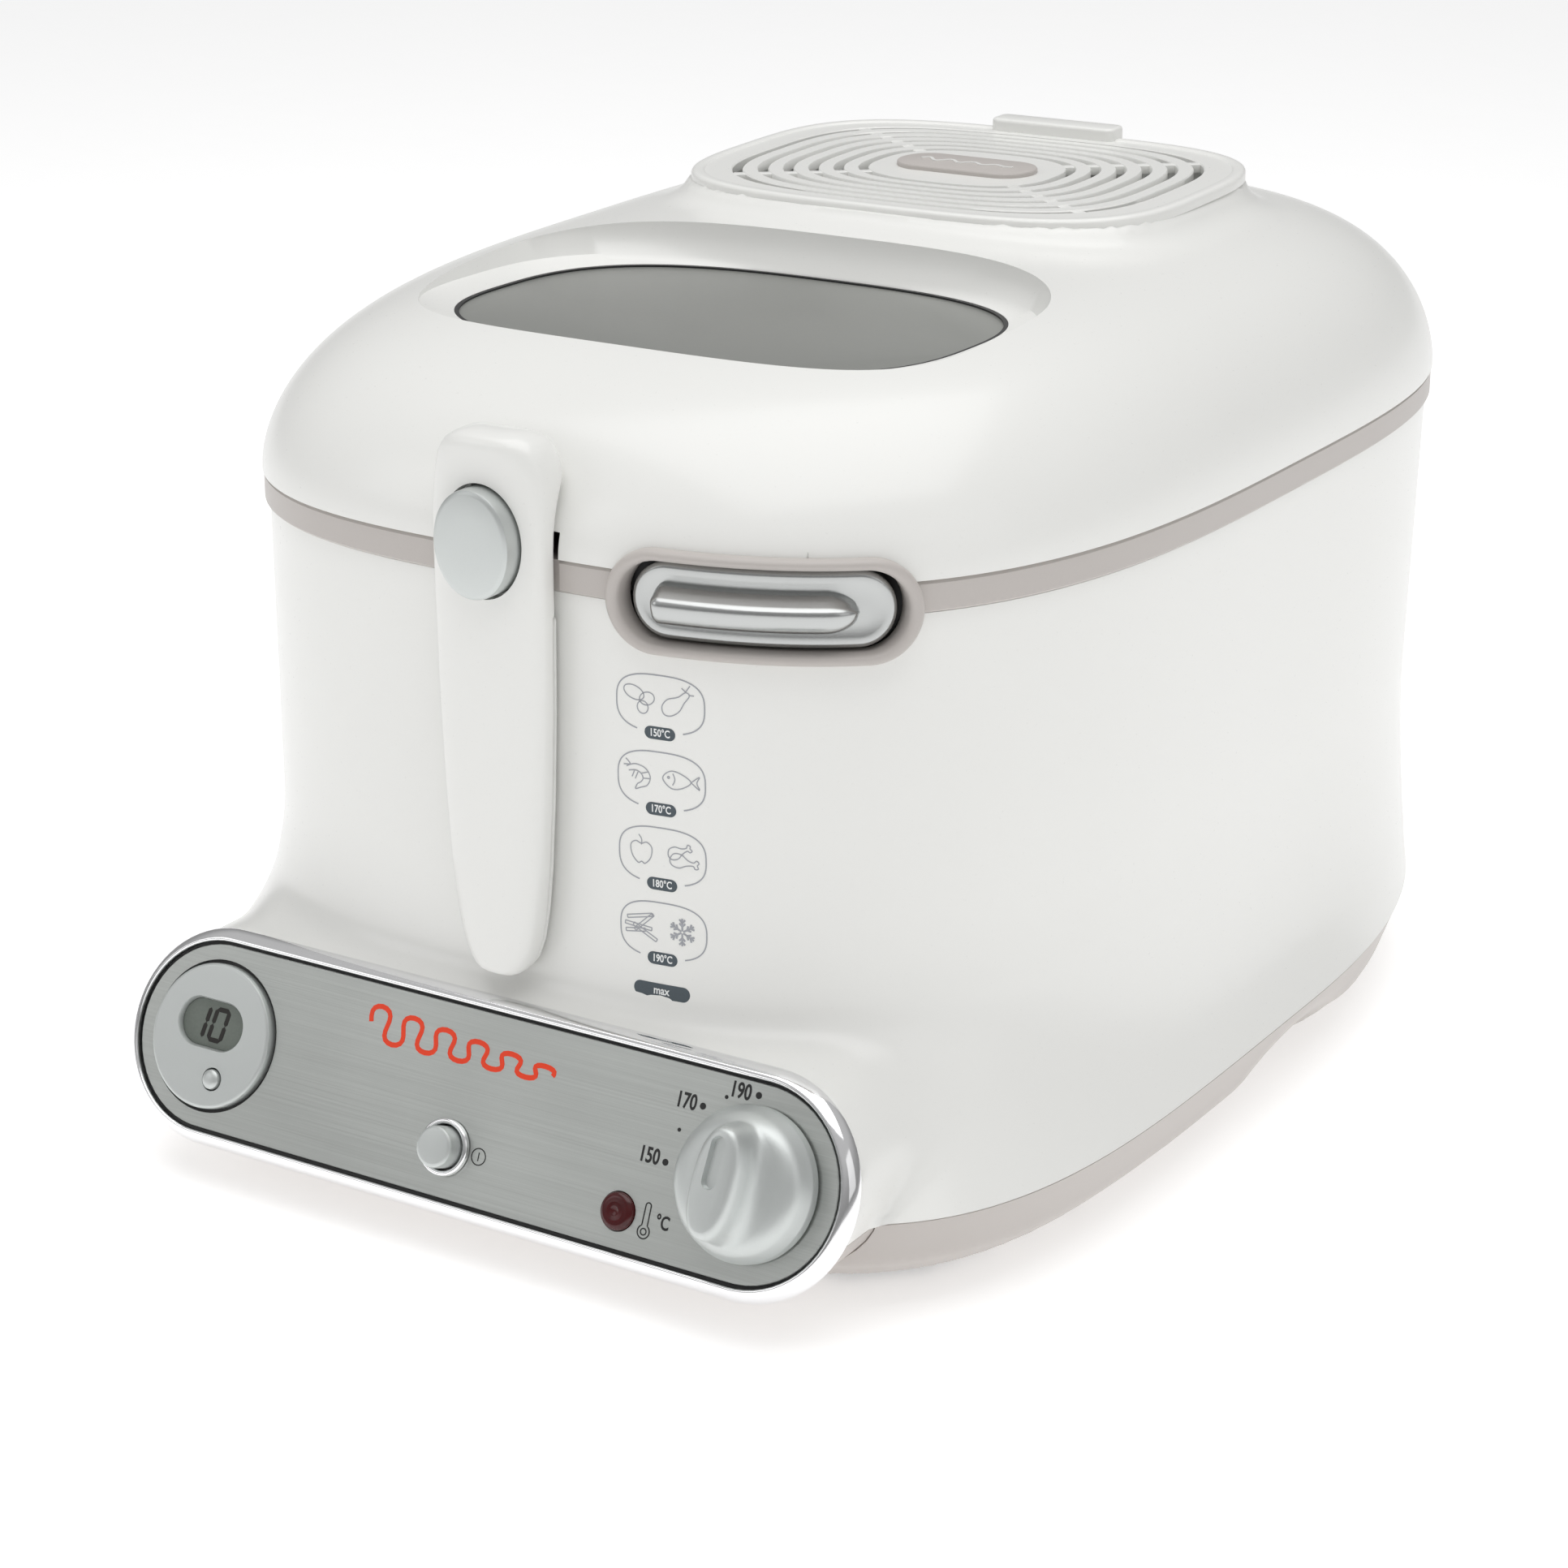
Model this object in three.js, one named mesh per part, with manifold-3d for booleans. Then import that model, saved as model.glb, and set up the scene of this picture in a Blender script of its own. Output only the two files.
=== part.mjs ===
// Household deep fryer with a hinged lid, a fold-out basket handle and a tilted control panel.
// Millimetres, +Z up, the control panel faces -Y and X = 0 is the plane of symmetry.
import * as THREE from 'three';
import { mergeVertices } from 'three/addons/utils/BufferGeometryUtils.js';
import Module from 'manifold-3d';

const wasm = await Module();
wasm.setup();

// Driving dimensions.
const depthShift = 0.77;
const gap = 0.3;
const sides = 40;
const innerSides = 28;
const bowlSides = 32;
const farOut = 300;

const wallFrontPower = 3.13;
const wallBackPower = 3.41;
const rim = outline(128.3, -164, 190, wallFrontPower, wallBackPower);
const rimTop = 178.7;
const bandHeight = 7.9;
const bandOpening = outline(106, -136, 162, wallFrontPower, wallBackPower);
const seamHeight = 28;
const casingWall = 2.8;
const mouldedWall = 2.6;
const casingLevels = [
  [seamHeight + 0.3, outline(141.5, -183.5, 205.5, 4.5, 2.3)],
  [36, outline(137, -177, 203, 4.3, 2.5)],
  [48, outline(131.8, -169, 197, 3.8, 2.8)],
  [63, outline(128.6, -163.1, 188, 3.4, 3.2)],
  [82.8, outline(127.1, -162.3, 182.8, wallFrontPower, wallBackPower)],
  [170.5, outline(127.2, -162.7, 188.7, wallFrontPower, wallBackPower)],
];
const skirtLevels = [[28, 0], [15, 4.4], [8, 11.6], [3.8, 21.4], [3, 28]];
const skirtSeam = outline(141.5, -183.5, 205.5, 4.5, 2.3);
const bottomOpening = outline(110.5, -152.5, 175, 4.5, 2.3);

const panelMiddle = new THREE.Vector3(0, -183.7, 38.8);
const panelLean = THREE.MathUtils.degToRad(23.4);
const panelHalfLength = 83;
const plateRadius = 24.4;
const bezelRadius = 28.6;
const podRadius = 27.6;
const podSetback = 3.3;
const podDepth = 46;
const dialRadius = 19.1;
const powerSpot = [-4.6, -11.4];
const pilotSpot = [48.6, -14.9];
const displaySpot = [-83.6, 3];
const timerButtonSpot = [-79.4, -10.9];

const domeHeight = 50;
const domeSlope = 0.0228;
const domeShoulder = 5;
const domeFullness = 1.808;
const rimMiddle = (rim.front + rim.back) / 2;
const domeSkirt = 12;
const domeShares = [1, 0.992, 0.965, 0.92, 0.85, 0.74, 0.55, 0.25];
const innerShares = [1, 0.98, 0.93, 0.84, 0.66, 0.35];
const lidWall = 3;
const windowPlan = outline(72, -114, -10, 2.8, 2.8);
const paneTop = 216.8;
const grillePlan = outline(75.7, 7.7, 120.9, 3.5, 3.5);
const grilleTop = 236.9;
const wellInset = 5.2;
const coverSheet = 3.2;
const grilleLean = THREE.MathUtils.degToRad(1.9);
const hingeY = 196;
const hingeZ = 184;
const knuckleRadius = 5;

const bowlPlan = outline(101, -131, 157, 3.2, 3.2);
const bowlBottom = 46;
const bowlSheet = 1.5;
const bowlFlange = 10.5;
const flangeSheet = 1.1;
const basketPlan = outline(90, -114, 138, 3.2, 3.2);
const basketBottom = 56;
const basketTop = 146;

const handleBack = -163.6;
const handleFront = -172.6;
const handleJoin = -166.45;
const handleTop = 209.5;
const handleTip = 69.8;
const handleStep = 165;
const handleNotch = 17.6;
const bracketHalf = 4.3;
const pinRadius = 1.5;
const pivotY = -166.9;
const pivotZ = 202;
const buttonZ = 183;
const buttonHalf = 11;
const buttonTall = 13.6;

const latchMiddle = new THREE.Vector3(68.5, -153.5, 172.4);
const latchTurn = THREE.MathUtils.degToRad(25);
const bezelHalf = 26;
const bezelHeight = 13;
const leverHalf = 23.8;
const leverRadius = 9.1;

const looks = {
  white: [0xf1f1ec, 0.3, 0],
  taupe: [0xcdc6c0, 0.4, 0],
  steel: [0xa9acaa, 0.35, 0.9],
  chrome: [0xd8d9d8, 0.15, 1],
  satin: [0xb9bcba, 0.4, 0.8],
  black: [0x1d1d1e, 0.6, 0],
  rubber: [0x2a2a2b, 0.8, 0],
  glass: [0x8c908c, 0.08, 0],
  display: [0x7c8680, 0.3, 0],
  lens: [0x8b1416, 0.2, 0],
  board: [0x2f5a38, 0.6, 0],
  bowl: [0x3a3b3c, 0.5, 0.2],
  zinc: [0xb4b7b6, 0.45, 0.9],
};

const group = new THREE.Group();

function outline(halfWidth, front, back, frontPower, backPower) {
  return { halfWidth, front, back, frontPower, backPower };
}

function grow(plan, by) {
  return outline(plan.halfWidth + by, plan.front - by, plan.back + by, plan.frontPower, plan.backPower);
}

function scaled(plan, share) {
  const middle = (plan.front + plan.back) / 2;
  const halfDepth = ((plan.back - plan.front) / 2) * share;
  const halfWidth = plan.halfWidth * share;
  return outline(halfWidth, middle - halfDepth, middle + halfDepth, plan.frontPower, plan.backPower);
}

function planRing(plan, height, count = sides) {
  const middle = (plan.front + plan.back) / 2;
  const halfDepth = (plan.back - plan.front) / 2;
  const points = [];
  for (let i = 0; i < count; i++) {
    const angle = (2 * Math.PI * i) / count;
    const power = 2 / (Math.sin(angle) < 0 ? plan.frontPower : plan.backPower);
    const x = Math.sign(Math.cos(angle)) * Math.abs(Math.cos(angle)) ** power * plan.halfWidth;
    const y = middle + Math.sign(Math.sin(angle)) * Math.abs(Math.sin(angle)) ** power * halfDepth;
    points.push(new THREE.Vector3(x, y, typeof height === 'function' ? height(y) : height));
  }
  return points;
}

// Turns rings of equal length into one solid, capped at both ends or joined into a loop.
function stackRings(rings, joined = false) {
  const count = rings[0].length;
  const positions = rings.flat().flatMap((point) => [point.x, point.y, point.z]);
  const faces = [];
  const bands = joined ? rings.length : rings.length - 1;
  for (let level = 0; level < bands; level++) {
    const low = level * count;
    const high = ((level + 1) % rings.length) * count;
    for (let i = 0; i < count; i++) {
      const next = (i + 1) % count;
      faces.push(low + i, low + next, high + next, low + i, high + next, high + i);
    }
  }
  if (!joined) {
    for (const level of [0, rings.length - 1]) {
      const centre = rings[level].reduce((sum, point) => sum.add(point), new THREE.Vector3());
      centre.divideScalar(count);
      const hub = positions.length / 3;
      positions.push(centre.x, centre.y, centre.z);
      for (let i = 0; i < count; i++) {
        const here = level * count + i;
        const next = level * count + ((i + 1) % count);
        faces.push(hub, level === 0 ? next : here, level === 0 ? here : next);
      }
    }
  }
  const geometry = new THREE.BufferGeometry();
  geometry.setAttribute('position', new THREE.Float32BufferAttribute(positions, 3));
  geometry.setIndex(faces);
  return solidOf(geometry);
}

function signedVolume(positions, faces) {
  let sum = 0;
  for (let i = 0; i < faces.length; i += 3) {
    const [a, b, c] = [0, 1, 2].map((k) => new THREE.Vector3().fromArray(positions, faces[i + k] * 3));
    sum += a.dot(b.cross(c));
  }
  return sum / 6;
}

function solidOf(geometry) {
  const plain = new THREE.BufferGeometry();
  plain.setAttribute('position', geometry.getAttribute('position').clone());
  if (geometry.index) {
    plain.setIndex(geometry.index.clone());
  }
  const welded = mergeVertices(plain, 1e-4);
  const positions = new Float32Array(welded.getAttribute('position').array);
  const faces = new Uint32Array(welded.index.array);
  if (signedVolume(positions, faces) < 0) {
    for (let i = 0; i < faces.length; i += 3) {
      [faces[i], faces[i + 1]] = [faces[i + 1], faces[i]];
    }
  }
  return new wasm.Manifold(new wasm.Mesh({ numProp: 3, vertProperties: positions, triVerts: faces }));
}

function addPart(name, solid, look) {
  const mesh = solid.getMesh();
  const geometry = new THREE.BufferGeometry();
  const positions = new Float32Array(mesh.vertProperties);
  for (let i = 1; i < positions.length; i += 3) {
    positions[i] += depthShift;
  }
  geometry.setAttribute('position', new THREE.BufferAttribute(positions, 3));
  geometry.setIndex(new THREE.BufferAttribute(new Uint32Array(mesh.triVerts), 1));
  geometry.computeVertexNormals();
  const [color, roughness, metalness] = looks[look];
  const part = new THREE.Mesh(geometry, new THREE.MeshStandardMaterial({ color, roughness, metalness }));
  part.name = name;
  group.add(part);
}

function box(x0, x1, y0, y1, z0, z1) {
  const geometry = new THREE.BoxGeometry(x1 - x0, y1 - y0, z1 - z0);
  geometry.translate((x0 + x1) / 2, (y0 + y1) / 2, (z0 + z1) / 2);
  return solidOf(geometry);
}

// A cylinder along local Z between two heights.
function rod(radius, low, high, count = 20) {
  const geometry = new THREE.CylinderGeometry(radius, radius, high - low, count);
  geometry.rotateX(Math.PI / 2);
  geometry.translate(0, 0, (low + high) / 2);
  return solidOf(geometry);
}

// A cylinder along X between two ends, centred on a height and depth.
function crossRod(radius, x0, x1, y, z, count = 16) {
  const geometry = new THREE.CylinderGeometry(radius, radius, x1 - x0, count);
  geometry.rotateZ(Math.PI / 2);
  geometry.translate((x0 + x1) / 2, y, z);
  return solidOf(geometry);
}

// A solid of revolution about local Z from [radius, height] pairs that start and end on the axis.
function lathe(profile, count = 32) {
  const geometry = new THREE.LatheGeometry(profile.map(([r, h]) => new THREE.Vector2(r, h)), count);
  geometry.rotateX(Math.PI / 2);
  return solidOf(geometry);
}

function stadium(halfLength, radius) {
  const shape = new THREE.Shape();
  shape.absarc(halfLength, 0, radius, -Math.PI / 2, Math.PI / 2, false);
  shape.absarc(-halfLength, 0, radius, Math.PI / 2, (3 * Math.PI) / 2, false);
  return shape;
}

// Extrudes a shape drawn in local X and Y between two local heights, its front edge bevelled on request.
function slab(shape, low, high, bevel = 0, curveSegments = 8) {
  const geometry = new THREE.ExtrudeGeometry(shape, {
    depth: high - low - 2 * bevel,
    bevelEnabled: bevel > 0,
    bevelSize: bevel,
    bevelThickness: bevel,
    bevelOffset: -bevel,
    bevelSegments: 1,
    curveSegments,
  });
  geometry.translate(0, 0, low + bevel);
  return solidOf(geometry);
}

// Local X, Y, Z become across the panel, up the panel and out of the panel.
function onPanel(solid, across = 0, up = 0) {
  const matrix = new THREE.Matrix4().makeBasis(
    new THREE.Vector3(1, 0, 0),
    new THREE.Vector3(0, Math.sin(panelLean), Math.cos(panelLean)),
    new THREE.Vector3(0, -Math.cos(panelLean), Math.sin(panelLean)),
  );
  matrix.setPosition(panelMiddle);
  return solid.translate([across, up, 0]).transform(matrix.elements);
}

// Local X, Y, Z become X, Z and -Y, so a slab drawn in local X and Y stands upright facing the front.
function upright(solid) {
  const matrix = new THREE.Matrix4().makeBasis(
    new THREE.Vector3(1, 0, 0),
    new THREE.Vector3(0, 0, 1),
    new THREE.Vector3(0, -1, 0),
  );
  return solid.transform(matrix.elements);
}

// Places something drawn upright about the origin at the lid latch, facing out of the front right corner.
function atLatch(solid) {
  return solid.rotate([0, 0, THREE.MathUtils.radToDeg(latchTurn)]).translate(latchMiddle.toArray());
}

function leanWithGrille(solid) {
  const middle = (grillePlan.front + grillePlan.back) / 2;
  return solid
    .translate([0, -middle, -grilleTop])
    .rotate([THREE.MathUtils.radToDeg(grilleLean), 0, 0])
    .translate([0, middle, grilleTop]);
}

function planPrism(plan, low, high, count = sides) {
  return stackRings([planRing(plan, low, count), planRing(plan, high, count)]);
}

function planFrame(outer, inner, low, high, count = sides) {
  return stackRings([
    planRing(outer, low, count),
    planRing(outer, high, count),
    planRing(inner, high, count),
    planRing(inner, low, count),
  ], true);
}

// A round bar bent along a plan at one height.
function loopBar(plan, height, radius, turns = 5, count = 28) {
  const rings = [];
  for (let i = 0; i < turns; i++) {
    const angle = (2 * Math.PI * i) / turns;
    rings.push(planRing(grow(plan, radius * Math.cos(angle)), height + radius * Math.sin(angle), count));
  }
  return stackRings(rings, true);
}

// The casing's flared outline as a solid, grown sideways and carried straight on past its own ends.
function casingSolid(by, below = 0, above = 0) {
  const rings = casingLevels.map(([height, plan]) => planRing(grow(plan, by), height));
  const [bottomHeight, bottomPlan] = casingLevels[0];
  const [topHeight, topPlan] = casingLevels[casingLevels.length - 1];
  if (below > 0) {
    rings.unshift(planRing(grow(bottomPlan, by), bottomHeight - below));
  }
  if (above > 0) {
    rings.push(planRing(grow(topPlan, by), topHeight + above));
  }
  return stackRings(rings);
}

// The bar-shaped housing behind the control panel, pushed straight back from the panel's plane.
function podSolid(radius, start, end) {
  const across = stadium(panelHalfLength, radius).getPoints(8).slice(0, -1);
  const ends = [start, end].map((distance) => across.map((point) => new THREE.Vector3(
    point.x,
    panelMiddle.y + point.y * Math.sin(panelLean) + podSetback * Math.cos(panelLean) + distance,
    panelMiddle.z + point.y * Math.cos(panelLean) - podSetback * Math.sin(panelLean),
  )));
  return stackRings(ends);
}

function domeSurface(by, shares = domeShares) {
  const rings = [planRing(grow(rim, by), rimTop + gap - domeSkirt)];
  for (const share of shares) {
    const plan = scaled(grow(rim, by), share);
    const rise = (1 - share ** domeShoulder) ** (1 / domeFullness);
    const lift = domeHeight + by;
    rings.push(planRing(plan, (y) => rimTop + gap + (lift + domeSlope * (y - rimMiddle)) * rise));
  }
  return stackRings(rings);
}

function latchPrism(halfLength, radius, inwards, outwards) {
  return atLatch(upright(slab(stadium(halfLength, radius), -inwards, outwards)));
}

// The wall of the rim between two distances from its outer face, used to shape the latch on the corner.
function rimWall(inner, outer) {
  return planFrame(grow(rim, outer), grow(rim, inner), latchMiddle.z - 22, latchMiddle.z + 28);
}

// ---- body ----
const podOuter = podSolid(podRadius, 0, podDepth);
const podInner = podSolid(podRadius - mouldedWall, -5, podDepth + 5);
const bezelHole = latchPrism(bezelHalf, bezelHeight + gap, 24, 20);
const casingInside = casingSolid(-casingWall, 20, 4);
const casing = casingSolid(0)
  .add(podOuter)
  .subtract(casingInside)
  .subtract(podInner)
  .subtract(bezelHole);
addPart('outer_casing', casing, 'white');

const skirtRings = skirtLevels.map(([height, inset]) => planRing(grow(skirtSeam, -inset), height));
const skirtCavity = skirtLevels.map(([height, inset]) => (
  planRing(grow(skirtSeam, -inset - mouldedWall), height + 1.6)
));
const scoopMiddle = [144, 15, 1];
const scoopReach = [23, 40, 19];
const scoopWall = 2.4;
const fingerScoop = (side, by) => {
  const geometry = new THREE.SphereGeometry(1, 14, 8);
  geometry.scale(...scoopReach.map((reach) => reach + by));
  geometry.translate(side * scoopMiddle[0], scoopMiddle[1], scoopMiddle[2]);
  return solidOf(geometry);
};
const skirtHollow = stackRings([planRing(grow(skirtSeam, -mouldedWall), seamHeight + 3), ...skirtCavity])
  .subtract(fingerScoop(1, scoopWall))
  .subtract(fingerScoop(-1, scoopWall));
const glandSpot = [-40, 0, 16];
const glandRadius = 6;
const skirt = stackRings(skirtRings)
  .subtract(skirtHollow)
  .subtract(planPrism(bottomOpening, 0, 10))
  .subtract(fingerScoop(1, 0))
  .subtract(fingerScoop(-1, 0))
  .subtract(podSolid(podRadius + 0.4, -5, podDepth + 5))
  .subtract(upright(rod(glandRadius + 0.4, -215, -180)).translate(glandSpot));
addPart('base_skirt', skirt, 'taupe');
addPart('bottom_plate', planPrism(grow(bottomOpening, -gap), 3.2, 5.4), 'taupe');
const glandCollar = rod(glandRadius + 2, -203, -200);
const gland = upright(rod(glandRadius, -203, -184).add(glandCollar)).translate(glandSpot);
addPart('cord_gland', gland.subtract(upright(rod(3.2, -206, -188, 12)).translate(glandSpot)), 'rubber');
const footSpots = [[-84, -122], [84, -122], [-80, 128], [80, 128]];
const footHeight = 2.95;
for (const [index, [x, y]] of footSpots.entries()) {
  addPart(`foot_${index + 1}`, rod(9, 0, footHeight, 16).translate([x, y, 0]), 'rubber');
  const screw = rod(3.4, 1.6, footHeight, 8).translate([x * 0.72, y * 0.9, 0]);
  addPart(`base_screw_${index + 1}`, screw, 'zinc');
}

const latchSlot = atLatch(box(-11.5, 11.5, 4, 15.5, -20, 20));
const band = planFrame(rim, bandOpening, rimTop - bandHeight, rimTop)
  .subtract(box(-handleNotch, handleNotch, -170, handleBack + 0.4, 150, 200))
  .subtract(box(-5.4, 5.4, -154, -149.6, 150, 200))
  .subtract(latchPrism(bezelHalf, bezelHeight + 0.4, 30, 20).subtract(rimWall(-40, -11)))
  .subtract(latchSlot);
addPart('rim_band', band, 'taupe');

const shieldPlan = outline(111, -142, 167, wallFrontPower, wallBackPower);
const shieldSheet = 0.9;
const shieldFloor = 22;
const shieldTop = 170.3;
addPart('heat_shield', stackRings([
  planRing(grow(shieldPlan, -6), shieldFloor, innerSides),
  planRing(shieldPlan, shieldFloor + 10, innerSides),
  planRing(shieldPlan, shieldTop, innerSides),
  planRing(grow(shieldPlan, -shieldSheet), shieldTop, innerSides),
  planRing(grow(shieldPlan, -shieldSheet), shieldFloor + 10.5, innerSides),
  planRing(grow(shieldPlan, -6 - shieldSheet), shieldFloor + shieldSheet, innerSides),
]), 'zinc');

addPart('frying_bowl', stackRings([
  planRing(grow(bowlPlan, -12), bowlBottom, bowlSides),
  planRing(grow(bowlPlan, -5), bowlBottom + 4, bowlSides),
  planRing(grow(bowlPlan, -2), bowlBottom + 15, bowlSides),
  planRing(bowlPlan, rimTop + gap, bowlSides),
  planRing(grow(bowlPlan, bowlFlange), rimTop + gap, bowlSides),
  planRing(grow(bowlPlan, bowlFlange), rimTop + gap + flangeSheet, bowlSides),
  planRing(grow(bowlPlan, -bowlSheet), rimTop + gap + flangeSheet, bowlSides),
  planRing(grow(bowlPlan, -2 - bowlSheet), bowlBottom + 15.5, bowlSides),
  planRing(grow(bowlPlan, -5 - bowlSheet), bowlBottom + 5.5, bowlSides),
  planRing(grow(bowlPlan, -12.5), bowlBottom + 1.6, bowlSides),
]), 'bowl');
const elementPlan = outline(66, -92, 118, 2.6, 2.6);
addPart('heating_element', loopBar(elementPlan, bowlBottom - 3.8, 3.4), 'steel');
addPart('element_terminal', box(-26, 26, -126.5, -99.5, 36, 45.6), 'zinc');
addPart('safety_cutout', rod(11, 34, 45.6, 20).translate([0, 40, 0]), 'black');

// ---- control panel ----
const plateShape = stadium(panelHalfLength, plateRadius);
const plateHoles = [
  [-panelHalfLength, 0, dialRadius + 0.5, 28],
  [panelHalfLength, 0, 4, 16],
  [...powerSpot, 6.8, 20],
  [...pilotSpot, 5.1, 20],
];
let plate = slab(plateShape, -1.2, 0);
for (const [across, up, radius, count] of plateHoles) {
  plate = plate.subtract(rod(radius, -5, 5, count).translate([across, up, 0]));
}
addPart('control_panel_plate', onPanel(plate), 'steel');

const bezelShape = stadium(panelHalfLength, bezelRadius);
bezelShape.holes.push(stadium(panelHalfLength, plateRadius + 0.3));
addPart('panel_bezel', onPanel(slab(bezelShape, -2.9, 1.9, 0.9)), 'chrome');

const displayHalf = 4.2;
const displayShape = stadium(displayHalf, 6.6);
const timerDisc = slab(new THREE.Shape().absarc(0, 0, dialRadius, 0, 2 * Math.PI), -1.2, 2, 0.6, 12)
  .translate([-panelHalfLength, 0, 0])
  .subtract(slab(displayShape, -5, 5).translate([...displaySpot, 0]))
  .subtract(rod(2.9, -5, 5, 16).translate([...timerButtonSpot, 0]));
addPart('timer_disc', onPanel(timerDisc), 'satin');
addPart('timer_lens', onPanel(slab(stadium(displayHalf, 6.3), 0.3, 1.4), ...displaySpot), 'glass');
addPart('timer_display', onPanel(slab(stadium(displayHalf, 6.1), -2.2, 0), ...displaySpot), 'display');
addPart('timer_button', onPanel(lathe([[0, -2.4], [2.5, -2.4], [2.5, 2.6], [1.7, 3.2], [0, 3.4]], 16),
  ...timerButtonSpot), 'satin');
addPart('timer_board', onPanel(rod(17, -5.6, -4, 24), -panelHalfLength, 0), 'board');

addPart('power_button_ring', onPanel(rod(7.3, 0.3, 1.8, 24)
  .add(rod(6.5, -6, 0.3, 24))
  .subtract(rod(5.8, -10, 10, 24)), ...powerSpot), 'chrome');
addPart('power_button', onPanel(lathe([[0, -4.6], [5.4, -4.6], [5.4, 4.9], [4.7, 5.7], [0, 5.9]], 24),
  ...powerSpot), 'satin');
addPart('power_switch', onPanel(box(-9, 9, -6, 6, -22, -8), ...powerSpot), 'black');
addPart('pilot_lens', onPanel(lathe([[0, -2], [4.8, -2], [4.8, 0.5], [3.9, 1.4], [2, 2], [0, 2.1]], 20),
  ...pilotSpot), 'lens');
addPart('pilot_lamp', onPanel(rod(3, -14, -2.4, 14), ...pilotSpot), 'black');

const knobRidge = slab(stadium(11.5, 5.6), 4, 19, 2.2, 5).rotate([0, 0, 90]);
const knob = lathe([
  [0, 0.9], [dialRadius, 0.9], [dialRadius, 2.7], [17.9, 3.7], [17.2, 6.6], [15.2, 8.6], [0, 9.6],
], innerSides)
  .add(knobRidge)
  .subtract(rod(3.3, -5, 7.6, 16));
addPart('thermostat_knob', onPanel(knob, panelHalfLength, 0), 'satin');
addPart('thermostat_shaft', onPanel(rod(3, -11.6, 7.2, 16), panelHalfLength, 0), 'zinc');
addPart('thermostat_switch', onPanel(box(-14, 14, -11, 11, -23, -12), panelHalfLength, 0), 'black');

// ---- lid latch ----
const leverBezel = latchPrism(bezelHalf, bezelHeight, 14, 20)
  .intersect(rimWall(-4.3, 3))
  .subtract(latchPrism(24.4, 10.2, 30, 30));
addPart('lever_bezel', leverBezel, 'taupe');
const leverBlock = latchPrism(leverHalf, leverRadius, 14, 20);
const leverRib = latchPrism(leverHalf + 3.4, 4, 14, 20).intersect(rimWall(-5, 5)).intersect(leverBlock);
const lever = leverBlock.intersect(rimWall(-5.4, 1.4)).add(leverRib);
addPart('lid_release_lever', lever, 'chrome');
const hook = box(-10, 10, 7.9, 10.2, -8, 12.4).add(box(-10, 10, 5.6, 8, 9.2, 12.4));
const hookFoot = box(-8, 8, 3.5, 8, -7.6, -3);
addPart('latch_hook', atLatch(hook.add(hookFoot)).subtract(rimWall(-5.7, 20)), 'zinc');

// ---- lid ----
const windowRing = planPrism(grow(windowPlan, 8.5), paneTop - 3, 245, innerSides)
  .intersect(domeSurface(-0.02));
const collar = stackRings([
  planRing(grow(grillePlan, 6), 222, innerSides),
  planRing(grow(grillePlan, 1.6), 228.6, innerSides),
  planRing(grow(grillePlan, -1.6), 231.4, innerSides),
  planRing(grow(grillePlan, -0.6), grilleTop - 3.6, innerSides),
]);
const filterWell = planPrism(grow(grillePlan, -wellInset), 200, 260, innerSides);
const filterWall = planFrame(grow(grillePlan, -2.4), grow(grillePlan, -wellInset), 214.2, 228, innerSides);
const windowCut = stackRings([
  planRing(grow(windowPlan, 4), 205, innerSides),
  planRing(grow(windowPlan, 4), paneTop + 0.3, innerSides),
  planRing(grow(windowPlan, -0.2), paneTop + 0.3, innerSides),
  planRing(grow(windowPlan, 0.4), paneTop + 1.2, innerSides),
  planRing(grow(windowPlan, 6.4), paneTop + 7.5, innerSides),
  planRing(grow(windowPlan, 7), 240, innerSides),
]);
const knuckleWidth = 12;
const lidKnuckles = [-26.3, 14.3].map((x) => crossRod(knuckleRadius, x, x + knuckleWidth, hingeY, hingeZ)
  .add(box(x, x + knuckleWidth, 185, hingeY, hingeZ - 3.4, hingeZ + 3.4)));
const lidInside = domeSurface(-lidWall, innerShares);
const lid = domeSurface(0)
  .add(leanWithGrille(collar))
  .add(lidKnuckles[0])
  .add(lidKnuckles[1])
  .subtract(lidInside)
  .add(windowRing)
  .add(leanWithGrille(filterWall))
  .subtract(box(-farOut, farOut, -farOut, farOut, 100, rimTop + gap))
  .subtract(windowCut)
  .subtract(leanWithGrille(filterWell))
  .subtract(crossRod(2.9, -60, 60, hingeY, hingeZ))
  .subtract(box(-handleNotch, handleNotch, -175, handleBack + 0.4, 170, 211))
  .subtract(box(-5.6, 5.6, -175, -150, 170, 187))
  .subtract(latchPrism(bezelHalf, bezelHeight + 1.2, 12, 20));
addPart('lid_shell', lid, 'white');

const linerLevels = [
  [182.2, 0], [192, 1.6], [203, 7], [209.6, 17], [211.4, 40],
];
const linerPlan = outline(108.5, -138, 165, 3.2, 3.2);
const linerSheet = 1.3;
const linerOuter = linerLevels.map(([height, inset]) => (
  planRing(grow(linerPlan, -inset), height, innerSides)
));
const linerInner = linerLevels.map(([height, inset]) => (
  planRing(grow(linerPlan, -inset - linerSheet), height - linerSheet, innerSides)
));
const liner = stackRings(linerOuter)
  .subtract(stackRings(linerInner))
  .subtract(planPrism(grow(windowPlan, -1.5), 200, 220, innerSides))
  .subtract(planPrism(grow(grillePlan, -14), 200, 220, innerSides));
addPart('lid_liner', liner, 'zinc');
const lidSeal = planFrame(grow(linerPlan, 1.5), grow(linerPlan, -4.5), 180.4, 181.9, innerSides);
addPart('lid_gasket', lidSeal, 'rubber');
const paneEdge = grow(windowPlan, 3.5);
const paneSeal = planFrame(paneEdge, grow(windowPlan, -1), 211.8, paneTop - 2.2, innerSides);
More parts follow.
